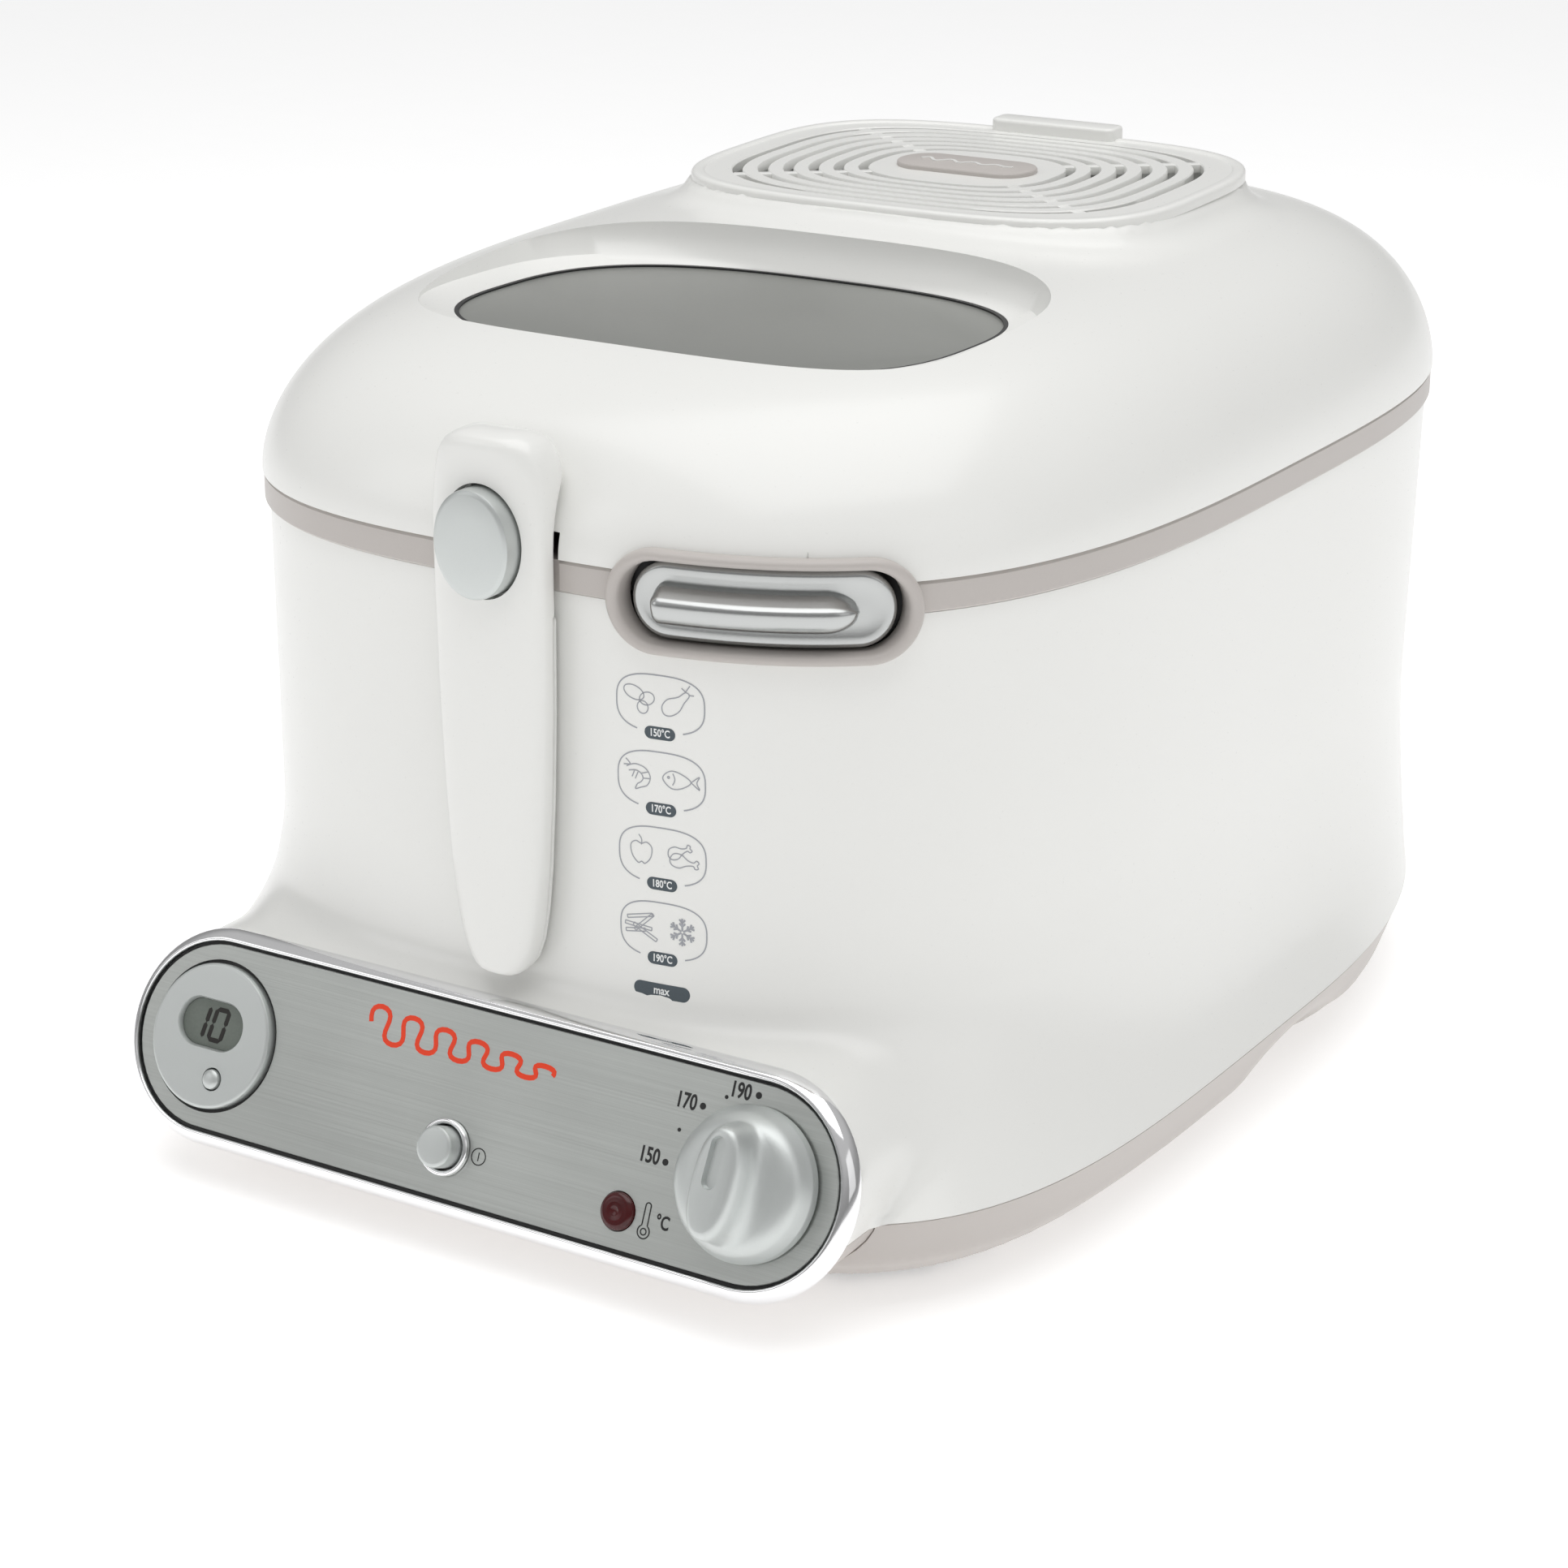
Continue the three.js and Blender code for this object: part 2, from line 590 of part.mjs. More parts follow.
addPart('window_gasket', paneSeal, 'rubber');
addPart('window_pane', planPrism(paneEdge, paneTop - 1.9, paneTop, innerSides), 'glass');
const striker = atLatch(box(-12, 12, 3.8, 5.2, 10.2, 22).add(box(-12, 12, -2, 5.2, 14.4, 18)));
addPart('latch_striker', striker.intersect(domeSurface(-lidWall - gap, innerShares)), 'white');

const slotCentre = (grillePlan.front + grillePlan.back) / 2;
let grille = planPrism(grillePlan, grilleTop - coverSheet, grilleTop, innerSides)
  .add(planFrame(grow(grillePlan, -5.6), grow(grillePlan, -7.8), grilleTop - 10, grilleTop - 3, innerSides));
const spokeAngles = [9, 81, 171, 261];
const spokes = spokeAngles.map((degrees) => (
  box(6, 90, -2, 2, 220, 250).rotate([0, 0, degrees]).translate([0, slotCentre, 0])
));
const slotShares = [0.86, 0.7, 0.54];
const slotReach = 0.03;
for (const share of slotShares) {
  const outer = scaled(grillePlan, share + slotReach);
  const inner = scaled(grillePlan, share - slotReach);
  let slot = planFrame(outer, inner, 220, 250, 20);
  for (const spoke of spokes) {
    slot = slot.subtract(spoke);
  }
  grille = grille.subtract(slot);
}
const tabArm = box(-19, 19, 112, 124.5, grilleTop - coverSheet, grilleTop + 1.6);
const tabLip = box(-20.5, 20.5, 119.5, 124.5, grilleTop - 2.2, grilleTop + 3.4);
addPart('filter_cover', leanWithGrille(grille.add(tabArm).add(tabLip)), 'white');
const badge = slab(stadium(13.5, 8.6), grilleTop + 0.25, grilleTop + 1.3).translate([0, slotCentre, 0]);
addPart('filter_badge', leanWithGrille(badge), 'taupe');
addPart('grease_filter', leanWithGrille(planPrism(grow(grillePlan, -8.6), 214.6, 224.4, 32)), 'steel');

// ---- hinge ----
const armWidth = 13;
const bracketArms = [-40, 27].map((x) => crossRod(knuckleRadius, x, x + armWidth, hingeY, hingeZ)
  .add(box(x, x + armWidth, 191, hingeY + knuckleRadius, 168, hingeZ)));
const bracket = box(-42, 42, 183, 193.6, 146, 178)
  .subtract(casingSolid(gap, 0, 4))
  .subtract(planPrism(grow(rim, gap), 150, 200))
  .add(bracketArms[0])
  .add(bracketArms[1])
  .subtract(crossRod(2.55, -60, 60, hingeY, hingeZ));
addPart('hinge_bracket', bracket, 'taupe');
addPart('hinge_pin', crossRod(2.2, -43, 43, hingeY, hingeZ, 14), 'steel');

// ---- handle ----
const handleOutline = new THREE.Shape();
handleOutline.moveTo(-16.5, handleTop - 12);
handleOutline.quadraticCurveTo(-16, handleTop, -5, handleTop);
handleOutline.lineTo(5, handleTop);
handleOutline.quadraticCurveTo(16, handleTop, 16.5, handleTop - 12);
handleOutline.lineTo(16.4, 165);
handleOutline.bezierCurveTo(16.2, 140, 15.4, 118, 13.2, 94);
handleOutline.bezierCurveTo(11.8, 79, 6.5, handleTip, 0, handleTip);
handleOutline.bezierCurveTo(-6.5, handleTip, -11.8, 79, -13.2, 94);
handleOutline.bezierCurveTo(-15.4, 118, -16.2, 140, -16.4, 165);
const buttonShape = (by) => {
  const shape = new THREE.Shape();
  shape.absellipse(0, buttonZ, buttonHalf + by, buttonTall + by, 0, 2 * Math.PI);
  return shape;
};
const pinHole = crossRod(pinRadius + gap, -30, 30, pivotY, pivotZ);
const handleShell = upright(slab(handleOutline, -handleBack, -handleFront, 1.7, 7))
  .subtract(box(-40, 40, handleJoin, -150, 0, handleStep))
  .subtract(box(-5.2, 5.2, -170.2, -150, 196.8, 230))
  .subtract(box(-5.2, 5.2, -167.6, -150, 172, 197))
  .subtract(upright(slab(buttonShape(0.5), 168.7, 190, 0, 12)))
  .subtract(pinHole);
addPart('handle_front_shell', handleShell, 'white');
const rearShell = upright(slab(handleOutline, -handleBack, -handleJoin - gap, 0.6, 7))
  .subtract(box(-40, 40, -180, -150, handleStep - gap, 230));
addPart('handle_rear_shell', rearShell, 'white');
addPart('handle_button', upright(slab(buttonShape(0), 172, 177.2, 1.1, 12)), 'satin');
addPart('handle_pivot_pin', crossRod(pinRadius, -13, 13, pivotY, pivotZ, 12), 'steel');
// The bracket steps from the pivot over the rim and down inside it, one box per straight run.
const bracketRuns = [
  [-166.8, -164.4, 182, pivotZ],
  [-166.8, -150.4, 182, 184.4],
  [-153, -150.4, 160, 184],
  [-153, -144, 160, 162.4],
];
let handleBracket = crossRod(3.1, -bracketHalf, bracketHalf, pivotY, pivotZ);
for (const [front, back, low, high] of bracketRuns) {
  handleBracket = handleBracket.add(box(-bracketHalf, bracketHalf, front, back, low, high));
}
handleBracket = handleBracket.subtract(crossRod(pinRadius + gap, -60, 60, pivotY, pivotZ));
addPart('handle_bracket', handleBracket, 'zinc');

// ---- basket ----
addPart('basket', stackRings([
  planRing(grow(basketPlan, -9), basketBottom, innerSides),
  planRing(grow(basketPlan, -5), basketBottom + 4, innerSides),
  planRing(basketPlan, basketTop, innerSides),
  planRing(grow(basketPlan, -1.5), basketTop, innerSides),
  planRing(grow(basketPlan, -6.5), basketBottom + 5, innerSides),
  planRing(grow(basketPlan, -10), basketBottom + 1.5, innerSides),
]), 'zinc');
addPart('basket_rim_wire', loopBar(grow(basketPlan, 0.4), basketTop + 2.6, 2.2), 'zinc');
const hanger = box(-22, 22, -119.9, -117.6, 128, 156).subtract(box(-12, 12, -125, -110, 134, 150));
addPart('basket_hanger', hanger, 'steel');

export default group;
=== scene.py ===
import math
import bmesh
import bpy
import numpy as np
from mathutils import Matrix, Vector


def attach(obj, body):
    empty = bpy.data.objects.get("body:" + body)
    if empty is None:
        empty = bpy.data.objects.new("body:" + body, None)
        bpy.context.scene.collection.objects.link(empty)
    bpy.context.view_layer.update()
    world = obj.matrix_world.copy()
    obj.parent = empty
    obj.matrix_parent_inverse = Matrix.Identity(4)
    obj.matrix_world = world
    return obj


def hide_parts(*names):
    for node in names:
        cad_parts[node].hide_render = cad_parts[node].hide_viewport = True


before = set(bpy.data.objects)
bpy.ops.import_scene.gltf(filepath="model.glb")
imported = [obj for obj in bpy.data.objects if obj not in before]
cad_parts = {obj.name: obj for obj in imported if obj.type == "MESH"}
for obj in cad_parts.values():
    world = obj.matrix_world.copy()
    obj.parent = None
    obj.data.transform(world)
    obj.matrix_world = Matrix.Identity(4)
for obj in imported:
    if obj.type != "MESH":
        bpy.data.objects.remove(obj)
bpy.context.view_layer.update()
mm = 0.001
depthShift = 0.77      # the whole fryer sits this far back from where its plans are drawn


# small tools
def toMesh(bm, name):
    mesh = bpy.data.meshes.new(name)
    bm.to_mesh(mesh)
    bm.free()
    return mesh


def fromMesh(mesh):
    bm = bmesh.new()
    bm.from_mesh(mesh)
    bpy.data.meshes.remove(mesh)
    return bm


def planRing(plan, count, grow=0.0, share=1.0):
    # evenly spaced points round a plan given as half width, front, back, front power, back power
    halfWidth, front, back, frontPower, backPower = plan
    middle = (front + back) / 2
    halfWidth = (halfWidth + grow) * share
    halfDepth = ((back - front) / 2 + grow) * share
    angle = np.linspace(0, 2 * math.pi, 2401)
    c, s = np.cos(angle), np.sin(angle)
    power = 2 / np.where(s < 0, frontPower, backPower)
    x = np.sign(c) * np.abs(c) ** power * halfWidth
    y = middle + np.sign(s) * np.abs(s) ** power * halfDepth
    run = np.concatenate([[0], np.cumsum(np.hypot(np.diff(x), np.diff(y)))])
    at = np.linspace(0, run[-1], count + 1)[:-1]
    return np.column_stack([np.interp(at, run, x), np.interp(at, run, y)])


def ringAt(plan, count, height, grow=0.0, share=1.0):
    flat = planRing(plan, count, grow, share)
    rise = height(flat) if callable(height) else np.full(count, float(height))
    return np.column_stack([flat, rise])


def loftRings(rings, joined=False, capped=True):
    # a grid rolled up into rings of points, one row of the grid for each ring
    rows = np.array(list(rings) + ([rings[0]] if joined else []))
    levels, count = rows.shape[0], rows.shape[1]
    bm = bmesh.new()
    bmesh.ops.create_grid(bm, x_segments=count, y_segments=levels - 1, size=1)
    for vert in bm.verts:
        i = round((vert.co.x + 1) / 2 * count) % count
        j = round((vert.co.y + 1) / 2 * (levels - 1))
        vert.co = rows[j][i]
    bmesh.ops.remove_doubles(bm, verts=bm.verts[:], dist=0.0005)
    if capped and not joined:
        edges = [edge for edge in bm.edges if edge.is_boundary]
        bmesh.ops.holes_fill(bm, edges=edges, sides=0)
    bmesh.ops.recalc_face_normals(bm, faces=bm.faces[:])
    return bm


def stacked(plan, count, profile, joined=False):
    # one plan lofted through (grow, height) pairs
    return loftRings([ringAt(plan, count, height, grow=grow) for grow, height in profile], joined=joined)


def join(*parts):
    whole = parts[0]
    for part in parts[1:]:
        mesh = toMesh(part, "part")
        whole.from_mesh(mesh)
        bpy.data.meshes.remove(mesh)
    return whole


def move(bm, x, y, z):
    bmesh.ops.translate(bm, verts=bm.verts[:], vec=(x, y, z))


def block(middle, size):
    # a plain block, for cutting with or for shaping on
    bm = bmesh.new()
    bmesh.ops.create_cube(bm, size=1, matrix=Matrix.LocRotScale(Vector(middle), None, Vector(size)))
    return bm


def evaluated(bm, kind, **settings):
    # the mesh after one modifier
    item = bpy.data.objects.new("work", toMesh(bm, "work"))
    bpy.context.scene.collection.objects.link(item)
    modifier = item.modifiers.new("work", kind)
    for key, value in settings.items():
        setattr(modifier, key, value)
    graph = bpy.context.evaluated_depsgraph_get()
    done = bpy.data.meshes.new_from_object(item.evaluated_get(graph))
    old = item.data
    bpy.data.objects.remove(item)
    bpy.data.meshes.remove(old)
    return fromMesh(done)


def carve(bm, cutter):
    # what is left of a closed shape once a cutter is taken out of it
    for solid in (bm, cutter):
        bmesh.ops.recalc_face_normals(solid, faces=solid.faces[:])
    other = bpy.data.objects.new("cutter", toMesh(cutter, "cutter"))
    bpy.context.scene.collection.objects.link(other)
    done = evaluated(bm, "BOOLEAN", object=other, operation="DIFFERENCE", solver="EXACT")
    old = other.data
    bpy.data.objects.remove(other)
    bpy.data.meshes.remove(old)
    return done


def finish(bm, name, look, body, replaces=(), sharp=32, place=None, turn=True):
    # millimetres to metres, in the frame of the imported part
    if place is not None:
        bmesh.ops.transform(bm, matrix=place, verts=bm.verts[:])
    if turn:
        bmesh.ops.recalc_face_normals(bm, faces=bm.faces[:])
    bmesh.ops.translate(bm, verts=bm.verts[:], vec=(0, depthShift, 0))
    bmesh.ops.scale(bm, verts=bm.verts[:], vec=(mm, mm, mm))
    for face in bm.faces:
        face.smooth = True
    mesh = toMesh(bm, name)
    mesh.set_sharp_from_angle(angle=math.radians(sharp))
    piece = bpy.data.objects.new(name, mesh)
    bpy.context.scene.collection.objects.link(piece)
    piece.data.materials.append(finishes[look])
    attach(piece, body)
    if replaces:
        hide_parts(*replaces)
    return piece


def smoothMin(a, b, reach):
    share = np.clip(0.5 + 0.5 * (b - a) / reach, 0, 1)
    return b * (1 - share) + a * share - reach * share * (1 - share)


def smoothMax(a, b, reach):
    return -smoothMin(-a, -b, reach)


def planDistance(points, plan, grow=0.0):
    halfWidth, front, back, frontPower, backPower = plan
    middle = (front + back) / 2
    x, y = np.abs(points[:, 0]), points[:, 1] - middle
    power = np.where(y < 0, frontPower, backPower)
    g = ((x / (halfWidth + grow)) ** power + (np.abs(y) / ((back - front) / 2 + grow)) ** power) ** (1 / power)
    radius = np.hypot(x, y)
    return radius * (1 - 1 / np.maximum(g, 1e-3))


def gradientOf(field, points, step=0.05):
    slopes = []
    for axis in range(3):
        offset = np.zeros(3)
        offset[axis] = step
        slopes.append((field(points + offset) - field(points - offset)) / (2 * step))
    return np.column_stack(slopes)


def settle(bm, field, rounds=4, most=1.5):
    # slides every vertex onto the surface where the field is zero
    points = np.array([vert.co[:] for vert in bm.verts])
    for _ in range(rounds):
        value = field(points)
        slope = gradientOf(field, points)
        move = -value / np.maximum((slope ** 2).sum(axis=1), 1e-6)
        length = np.abs(move) * np.sqrt((slope ** 2).sum(axis=1))
        move = move * np.minimum(1, most / np.maximum(length, 1e-9))
        points = points + slope * move[:, None]
    for vert, point in zip(bm.verts, points):
        vert.co = point


def relaxed(bm, field, again):
    # a remeshed skin slid onto its field, smoothed once and slid back
    settle(bm, field)
    bmesh.ops.smooth_vert(bm, verts=bm.verts[:], factor=0.5, use_axis_x=True, use_axis_y=True,
                          use_axis_z=True)
    settle(bm, field, rounds=again)


def cutFlat(bm, point, normal):
    # cuts off what lies beyond a plane and leaves the edge open
    geom = bm.verts[:] + bm.edges[:] + bm.faces[:]
    bmesh.ops.bisect_plane(bm, geom=geom, plane_co=point, plane_no=normal, clear_outer=True)


def dropFaces(bm, unwanted):
    faces = [face for face in bm.faces if unwanted(face.calc_center_median())]
    bmesh.ops.delete(bm, geom=faces, context="FACES")


# camera and light
view = {"spot": (503.7, -843.8, 423.4), "azimuth": 31.885, "elevation": 19.851, "lens": 83.3}
azimuth, elevation = math.radians(view["azimuth"]), math.radians(view["elevation"])
level = math.cos(elevation)
looking = Vector((-math.sin(azimuth) * level, math.cos(azimuth) * level, -math.sin(elevation)))
camera = bpy.data.objects.new("camera", bpy.data.cameras.new("camera"))
camera.data.lens = view["lens"]
camera.data.sensor_width = 36
camera.location = Vector(view["spot"]) * mm
camera.rotation_euler = looking.to_track_quat("-Z", "Y").to_euler()
camera.data.clip_start, camera.data.clip_end = 0.05, 20
bpy.context.scene.collection.objects.link(camera)
bpy.context.scene.camera = camera

lamps = {  # name: (spot, aims at, width, watts)
    "overhead": ((0.1, -0.1, 1.5), (0, 0, 0.1), 1.6, 13),
    "frontLeft": ((-1.3, -1.5, 1.0), (0, 0, 0.1), 1.0, 3),
    "right": ((1.7, -0.3, 0.8), (0, 0, 0.1), 1.0, 1.5),
}
for name, (spot, aim, width, watts) in lamps.items():
    lamp = bpy.data.objects.new(name, bpy.data.lights.new(name, "AREA"))
    lamp.data.size = width
    lamp.data.energy = watts
    lamp.location = spot
    lamp.rotation_euler = (Vector(aim) - Vector(spot)).to_track_quat("-Z", "Y").to_euler()
    bpy.context.scene.collection.objects.link(lamp)

world = bpy.data.worlds.new("softRoom")
bpy.context.scene.world = world
world.use_nodes = True
skyNodes, skyLinks = world.node_tree.nodes, world.node_tree.links
direction = skyNodes.new("ShaderNodeTexCoord")
upDown = skyNodes.new("ShaderNodeSeparateXYZ")
bands = skyNodes.new("ShaderNodeValToRGB")
bands.color_ramp.elements[0].position = 0.35
bands.color_ramp.elements[0].color = (1.0, 1.0, 1.0, 1)
bands.color_ramp.elements[1].position = 1.0
bands.color_ramp.elements[1].color = (1.0, 1.0, 1.0, 1)
for at, grey in ((0.5, 0.86), (0.56, 0.5), (0.68, 0.62), (0.82, 0.95)):
    stop = bands.color_ramp.elements.new(at)
    stop.color = (grey, grey, grey, 1)
heightShare = skyNodes.new("ShaderNodeMapRange")
heightShare.inputs["From Min"].default_value = -1
skyLinks.new(direction.outputs["Generated"], upDown.inputs[0])
skyLinks.new(upDown.outputs["Z"], heightShare.inputs["Value"])
skyLinks.new(heightShare.outputs["Result"], bands.inputs["Fac"])
skyLinks.new(bands.outputs["Color"], skyNodes["Background"].inputs["Color"])
skyNodes["Background"].inputs["Strength"].default_value = 0.54
bpy.context.scene.view_settings.view_transform = "Standard"
print("camera and light ready")


# finishes
def grainMaterial(name, tone, rough, metallic=0.0, grain=1400, bump=0.02, tint=0.03, stretch=(1, 1, 1),
                  coat=0.0, roughSpread=0.06, cloud=12):
    # cloudy colour, fine grain in roughness and bump, drawn out along one axis for brushed metal
    material = bpy.data.materials.new(name)
    material.use_nodes = True
    nodes, links = material.node_tree.nodes, material.node_tree.links
    shader = nodes["Principled BSDF"]
    where = nodes.new("ShaderNodeTexCoord")
    placed = nodes.new("ShaderNodeMapping")
    placed.inputs["Scale"].default_value = stretch
    links.new(where.outputs["Object"], placed.inputs["Vector"])
    fine = nodes.new("ShaderNodeTexNoise")
    fine.inputs["Scale"].default_value = grain
    fine.inputs["Detail"].default_value = 3
    links.new(placed.outputs["Vector"], fine.inputs["Vector"])
    broad = nodes.new("ShaderNodeTexNoise")
    broad.inputs["Scale"].default_value = cloud
    broad.inputs["Detail"].default_value = 2
    links.new(where.outputs["Object"], broad.inputs["Vector"])
    blendGrain = nodes.new("ShaderNodeMath")
    blendGrain.operation = "MULTIPLY_ADD"
    blendGrain.inputs[1].default_value = 0.6
    links.new(fine.outputs["Fac"], blendGrain.inputs[0])
    links.new(broad.outputs["Fac"], blendGrain.inputs[2])
    colours = nodes.new("ShaderNodeMapRange")
    colours.data_type = "FLOAT_VECTOR"
    colours.inputs[7].default_value = (0.45, 0.45, 0.45)
    colours.inputs[8].default_value = (1.15, 1.15, 1.15)
    colours.inputs[9].default_value = [channel * (1 - tint) for channel in tone]
    colours.inputs[10].default_value = [min(1, channel * (1 + tint)) for channel in tone]
    links.new(blendGrain.outputs[0], colours.inputs[6])
    links.new(colours.outputs[1], shader.inputs["Base Color"])
    dull = nodes.new("ShaderNodeMapRange")
    dull.inputs["To Min"].default_value = max(0.02, rough - roughSpread)
    dull.inputs["To Max"].default_value = min(1, rough + roughSpread)
    links.new(fine.outputs["Fac"], dull.inputs["Value"])
    links.new(dull.outputs["Result"], shader.inputs["Roughness"])
    raised = nodes.new("ShaderNodeBump")
    raised.inputs["Strength"].default_value = bump
    raised.inputs["Distance"].default_value = 0.0002
    links.new(fine.outputs["Fac"], raised.inputs["Height"])
    links.new(raised.outputs["Normal"], shader.inputs["Normal"])
    shader.inputs["Metallic"].default_value = metallic
    if coat:
        shader.inputs["Coat Weight"].default_value = coat
        shader.inputs["Coat Roughness"].default_value = 0.12
    return material


finishTable = {  # colour, roughness, then what differs from the usual
    "whitePlastic": dict(tone=(0.86, 0.86, 0.835), rough=0.3, coat=0.25, bump=0.006, tint=0.006),
    "whiteMatt": dict(tone=(0.86, 0.86, 0.84), rough=0.42, bump=0.02, tint=0.01),
    "taupePlastic": dict(tone=(0.53, 0.495, 0.47), rough=0.38, bump=0.02, tint=0.02),
    "brushedSteel": dict(tone=(0.53, 0.55, 0.53), rough=0.36, metallic=0.85, grain=260, stretch=(0.06, 9, 9),
                         bump=0.12, tint=0.16, roughSpread=0.1),
    "chrome": dict(tone=(0.86, 0.86, 0.87), rough=0.1, metallic=1.0, bump=0.01, tint=0.01, roughSpread=0.02),
    "satinSilver": dict(tone=(0.60, 0.625, 0.615), rough=0.42, metallic=0.75, grain=2600, bump=0.05,
                        tint=0.03),
    "leverMetal": dict(tone=(0.50, 0.51, 0.505), rough=0.24, metallic=0.95, grain=2200, bump=0.04, tint=0.02),
    "rubber": dict(tone=(0.022, 0.022, 0.023), rough=0.7, grain=3000, bump=0.2, tint=0.2),
    # black plastic for the real black parts, also used for the black pieces that paint shade into gaps and wells
    "blackPlasticAndShade": dict(tone=(0.012, 0.012, 0.013), rough=0.45, bump=0.1, tint=0.15),
    "windowGlass": dict(tone=(0.235, 0.24, 0.225), rough=0.34, bump=0.0, tint=0.10, cloud=9,
                        roughSpread=0.04),
    "lcdGlass": dict(tone=(0.15, 0.17, 0.15), rough=0.12, bump=0.0, tint=0.1, cloud=60),
    "lcdInk": dict(tone=(0.008, 0.006, 0.004), rough=0.3, bump=0.0, tint=0.2, cloud=80),
    "redLens": dict(tone=(0.055, 0.0008, 0.002), rough=0.2, coat=0.0, bump=0.02, tint=0.4, grain=500),
    "greyInk": dict(tone=(0.36, 0.37, 0.40), rough=0.4, bump=0.02, tint=0.05),
    "slateInk": dict(tone=(0.055, 0.075, 0.09), rough=0.4, bump=0.02, tint=0.1),
    "blackInk": dict(tone=(0.012, 0.012, 0.012), rough=0.4, bump=0.02, tint=0.1),
    "whiteInk": dict(tone=(0.85, 0.86, 0.86), rough=0.4, bump=0.02, tint=0.02),
    "orangeInk": dict(tone=(0.80, 0.045, 0.006), rough=0.35, bump=0.02, tint=0.05),
    "bowlCoating": dict(tone=(0.035, 0.036, 0.038), rough=0.42, metallic=0.2, grain=1800, bump=0.15,
                        tint=0.25),
    "zincPlate": dict(tone=(0.55, 0.56, 0.555), rough=0.35, metallic=0.95, grain=900, bump=0.08, tint=0.06),
    "boardGreen": dict(tone=(0.03, 0.12, 0.05), rough=0.4, grain=700, bump=0.1, tint=0.25),
    "studioFloor": dict(tone=(0.93, 0.93, 0.93), rough=0.6, grain=40, bump=0.0, tint=0.004),
}
finishes = {name: grainMaterial(name, **settings) for name, settings in finishTable.items()}
studioShader = finishes["studioFloor"].node_tree.nodes["Principled BSDF"]
studioShader.inputs["Emission Color"].default_value = (1, 1, 1, 1)
studioShader.inputs["Emission Strength"].default_value = 0.42

floorMesh = bmesh.new()
bmesh.ops.create_grid(floorMesh, x_segments=8, y_segments=8, size=6)
floor = bpy.data.objects.new("studioFloorSheet", toMesh(floorMesh, "studioFloorSheet"))
floor.data.materials.append(finishes["studioFloor"])
bpy.context.scene.collection.objects.link(floor)
print("finishes ready")


# outer casing, one moulding with the housing of the control panel
casing = {
    "levels": [  # height, half width, front, back, front power, back power
        (20, 146.5, -188.5, 207.0, 4.8, 2.2), (28.3, 141.5, -183.5, 205.5, 4.5, 2.3),
        (36, 137, -177, 203, 4.3, 2.5), (48, 131.8, -169, 197, 3.8, 2.8), (63, 128.6, -163.1, 188, 3.4, 3.2),
        (82.8, 127.1, -162.3, 182.8, 3.13, 3.41), (170.5, 127.2, -162.7, 188.7, 3.13, 3.41),
        (200, 127.2, -162.7, 188.7, 3.13, 3.41),
    ],
    "softness": 7, "fillet": 9.5, "seam": 28.3, "top": 170.5, "ends": (2, 176), "voxel": 2.6, "wall": 2.6,
}
panel = {
    "middle": (0, -183.7, 38.8), "lean": math.radians(23.4), "half": 83, "podRadius": 27.6, "setback": 3.3,
    "behind": 125,
}
rim = (128.3, -164, 190, 3.13, 3.41)
levelTable = np.array(casing["levels"])
softSteps = np.linspace(-casing["softness"], casing["softness"], 9)
panelOut = np.array([0, -math.cos(panel["lean"]), math.sin(panel["lean"])])
panelBasis = Matrix(((1, 0, 0), (0, math.sin(panel["lean"]), -math.cos(panel["lean"])),
                     (0, math.cos(panel["lean"]), math.sin(panel["lean"])))).to_4x4()


def onPanel(across=0.0, up=0.0):
    return Matrix.Translation(panel["middle"]) @ panelBasis @ Matrix.Translation((across, up, 0))


def casingPlans(height):
    # the plan at each height, the corners between levels smoothed
    plans = []
    for column in range(1, 6):
        runs = [np.interp(height + step, levelTable[:, 0], levelTable[:, column]) for step in softSteps]
        plans.append(np.mean(runs, axis=0))
    return plans


def casingField(points):
    return planDistance(points, casingPlans(points[:, 2]))


def beforePanel(points):
    # how far points stand in front of the housing's open end
    return (points - np.array(panel["middle"])) @ panelOut + panel["setback"]


def podField(points, grow=0.0):
    across = np.maximum(np.abs(points[:, 0]) - panel["half"], 0)
    lean, middle = panel["lean"], panel["middle"][2] - panel["setback"] * math.sin(panel["lean"])
    up = (points[:, 2] - middle) / math.cos(lean)
    sideways = np.hypot(across, up) - panel["podRadius"] - grow
    return np.maximum(smoothMax(sideways, beforePanel(points), 2.0), points[:, 1] + panel["behind"])


def bodyField(points):
    reach = np.interp(points[:, 2], (28, 44), (0.6, casing["fillet"]))  # no fillet below the seam
    return smoothMin(casingField(points), podField(points), reach)


def casingSkin(points):
    # the same with a flat top and bottom, both cut away later
    height = points[:, 2]
    low, high = casing["ends"]
    closed = np.where(height < low + 1.8, low - height, bodyField(points))
    return np.where(height > high - 1.5, height - high, closed)


def stadiumRing(half, radius, count):
    # evenly spaced points round a bar with round ends
    straight, arc = 2 * half, math.pi * radius
    total = 2 * (straight + arc)
    ring = []
    for i in range(count):
        run = (i / count * total + radius * math.pi / 2) % total
        if run < arc:
            turn = run / radius - math.pi / 2
            ring.append((half + radius * math.cos(turn), radius * math.sin(turn)))
        elif run < arc + straight:
            ring.append((half - (run - arc), radius))
        elif run < 2 * arc + straight:
            turn = (run - arc - straight) / radius + math.pi / 2
            ring.append((-half + radius * math.cos(turn), radius * math.sin(turn)))
        else:
            ring.append((-half + (run - 2 * arc - straight), -radius))
    return np.array(ring)


def barLoft(profile, half, count=120, joined=False):
    # rings round a bar with round ends, from (radius, height) pairs
    rings = []
    for radius, height in profile:
        rings.append(np.column_stack([stadiumRing(half, radius, count), np.full(count, height)]))
    return loftRings(rings, joined=joined)


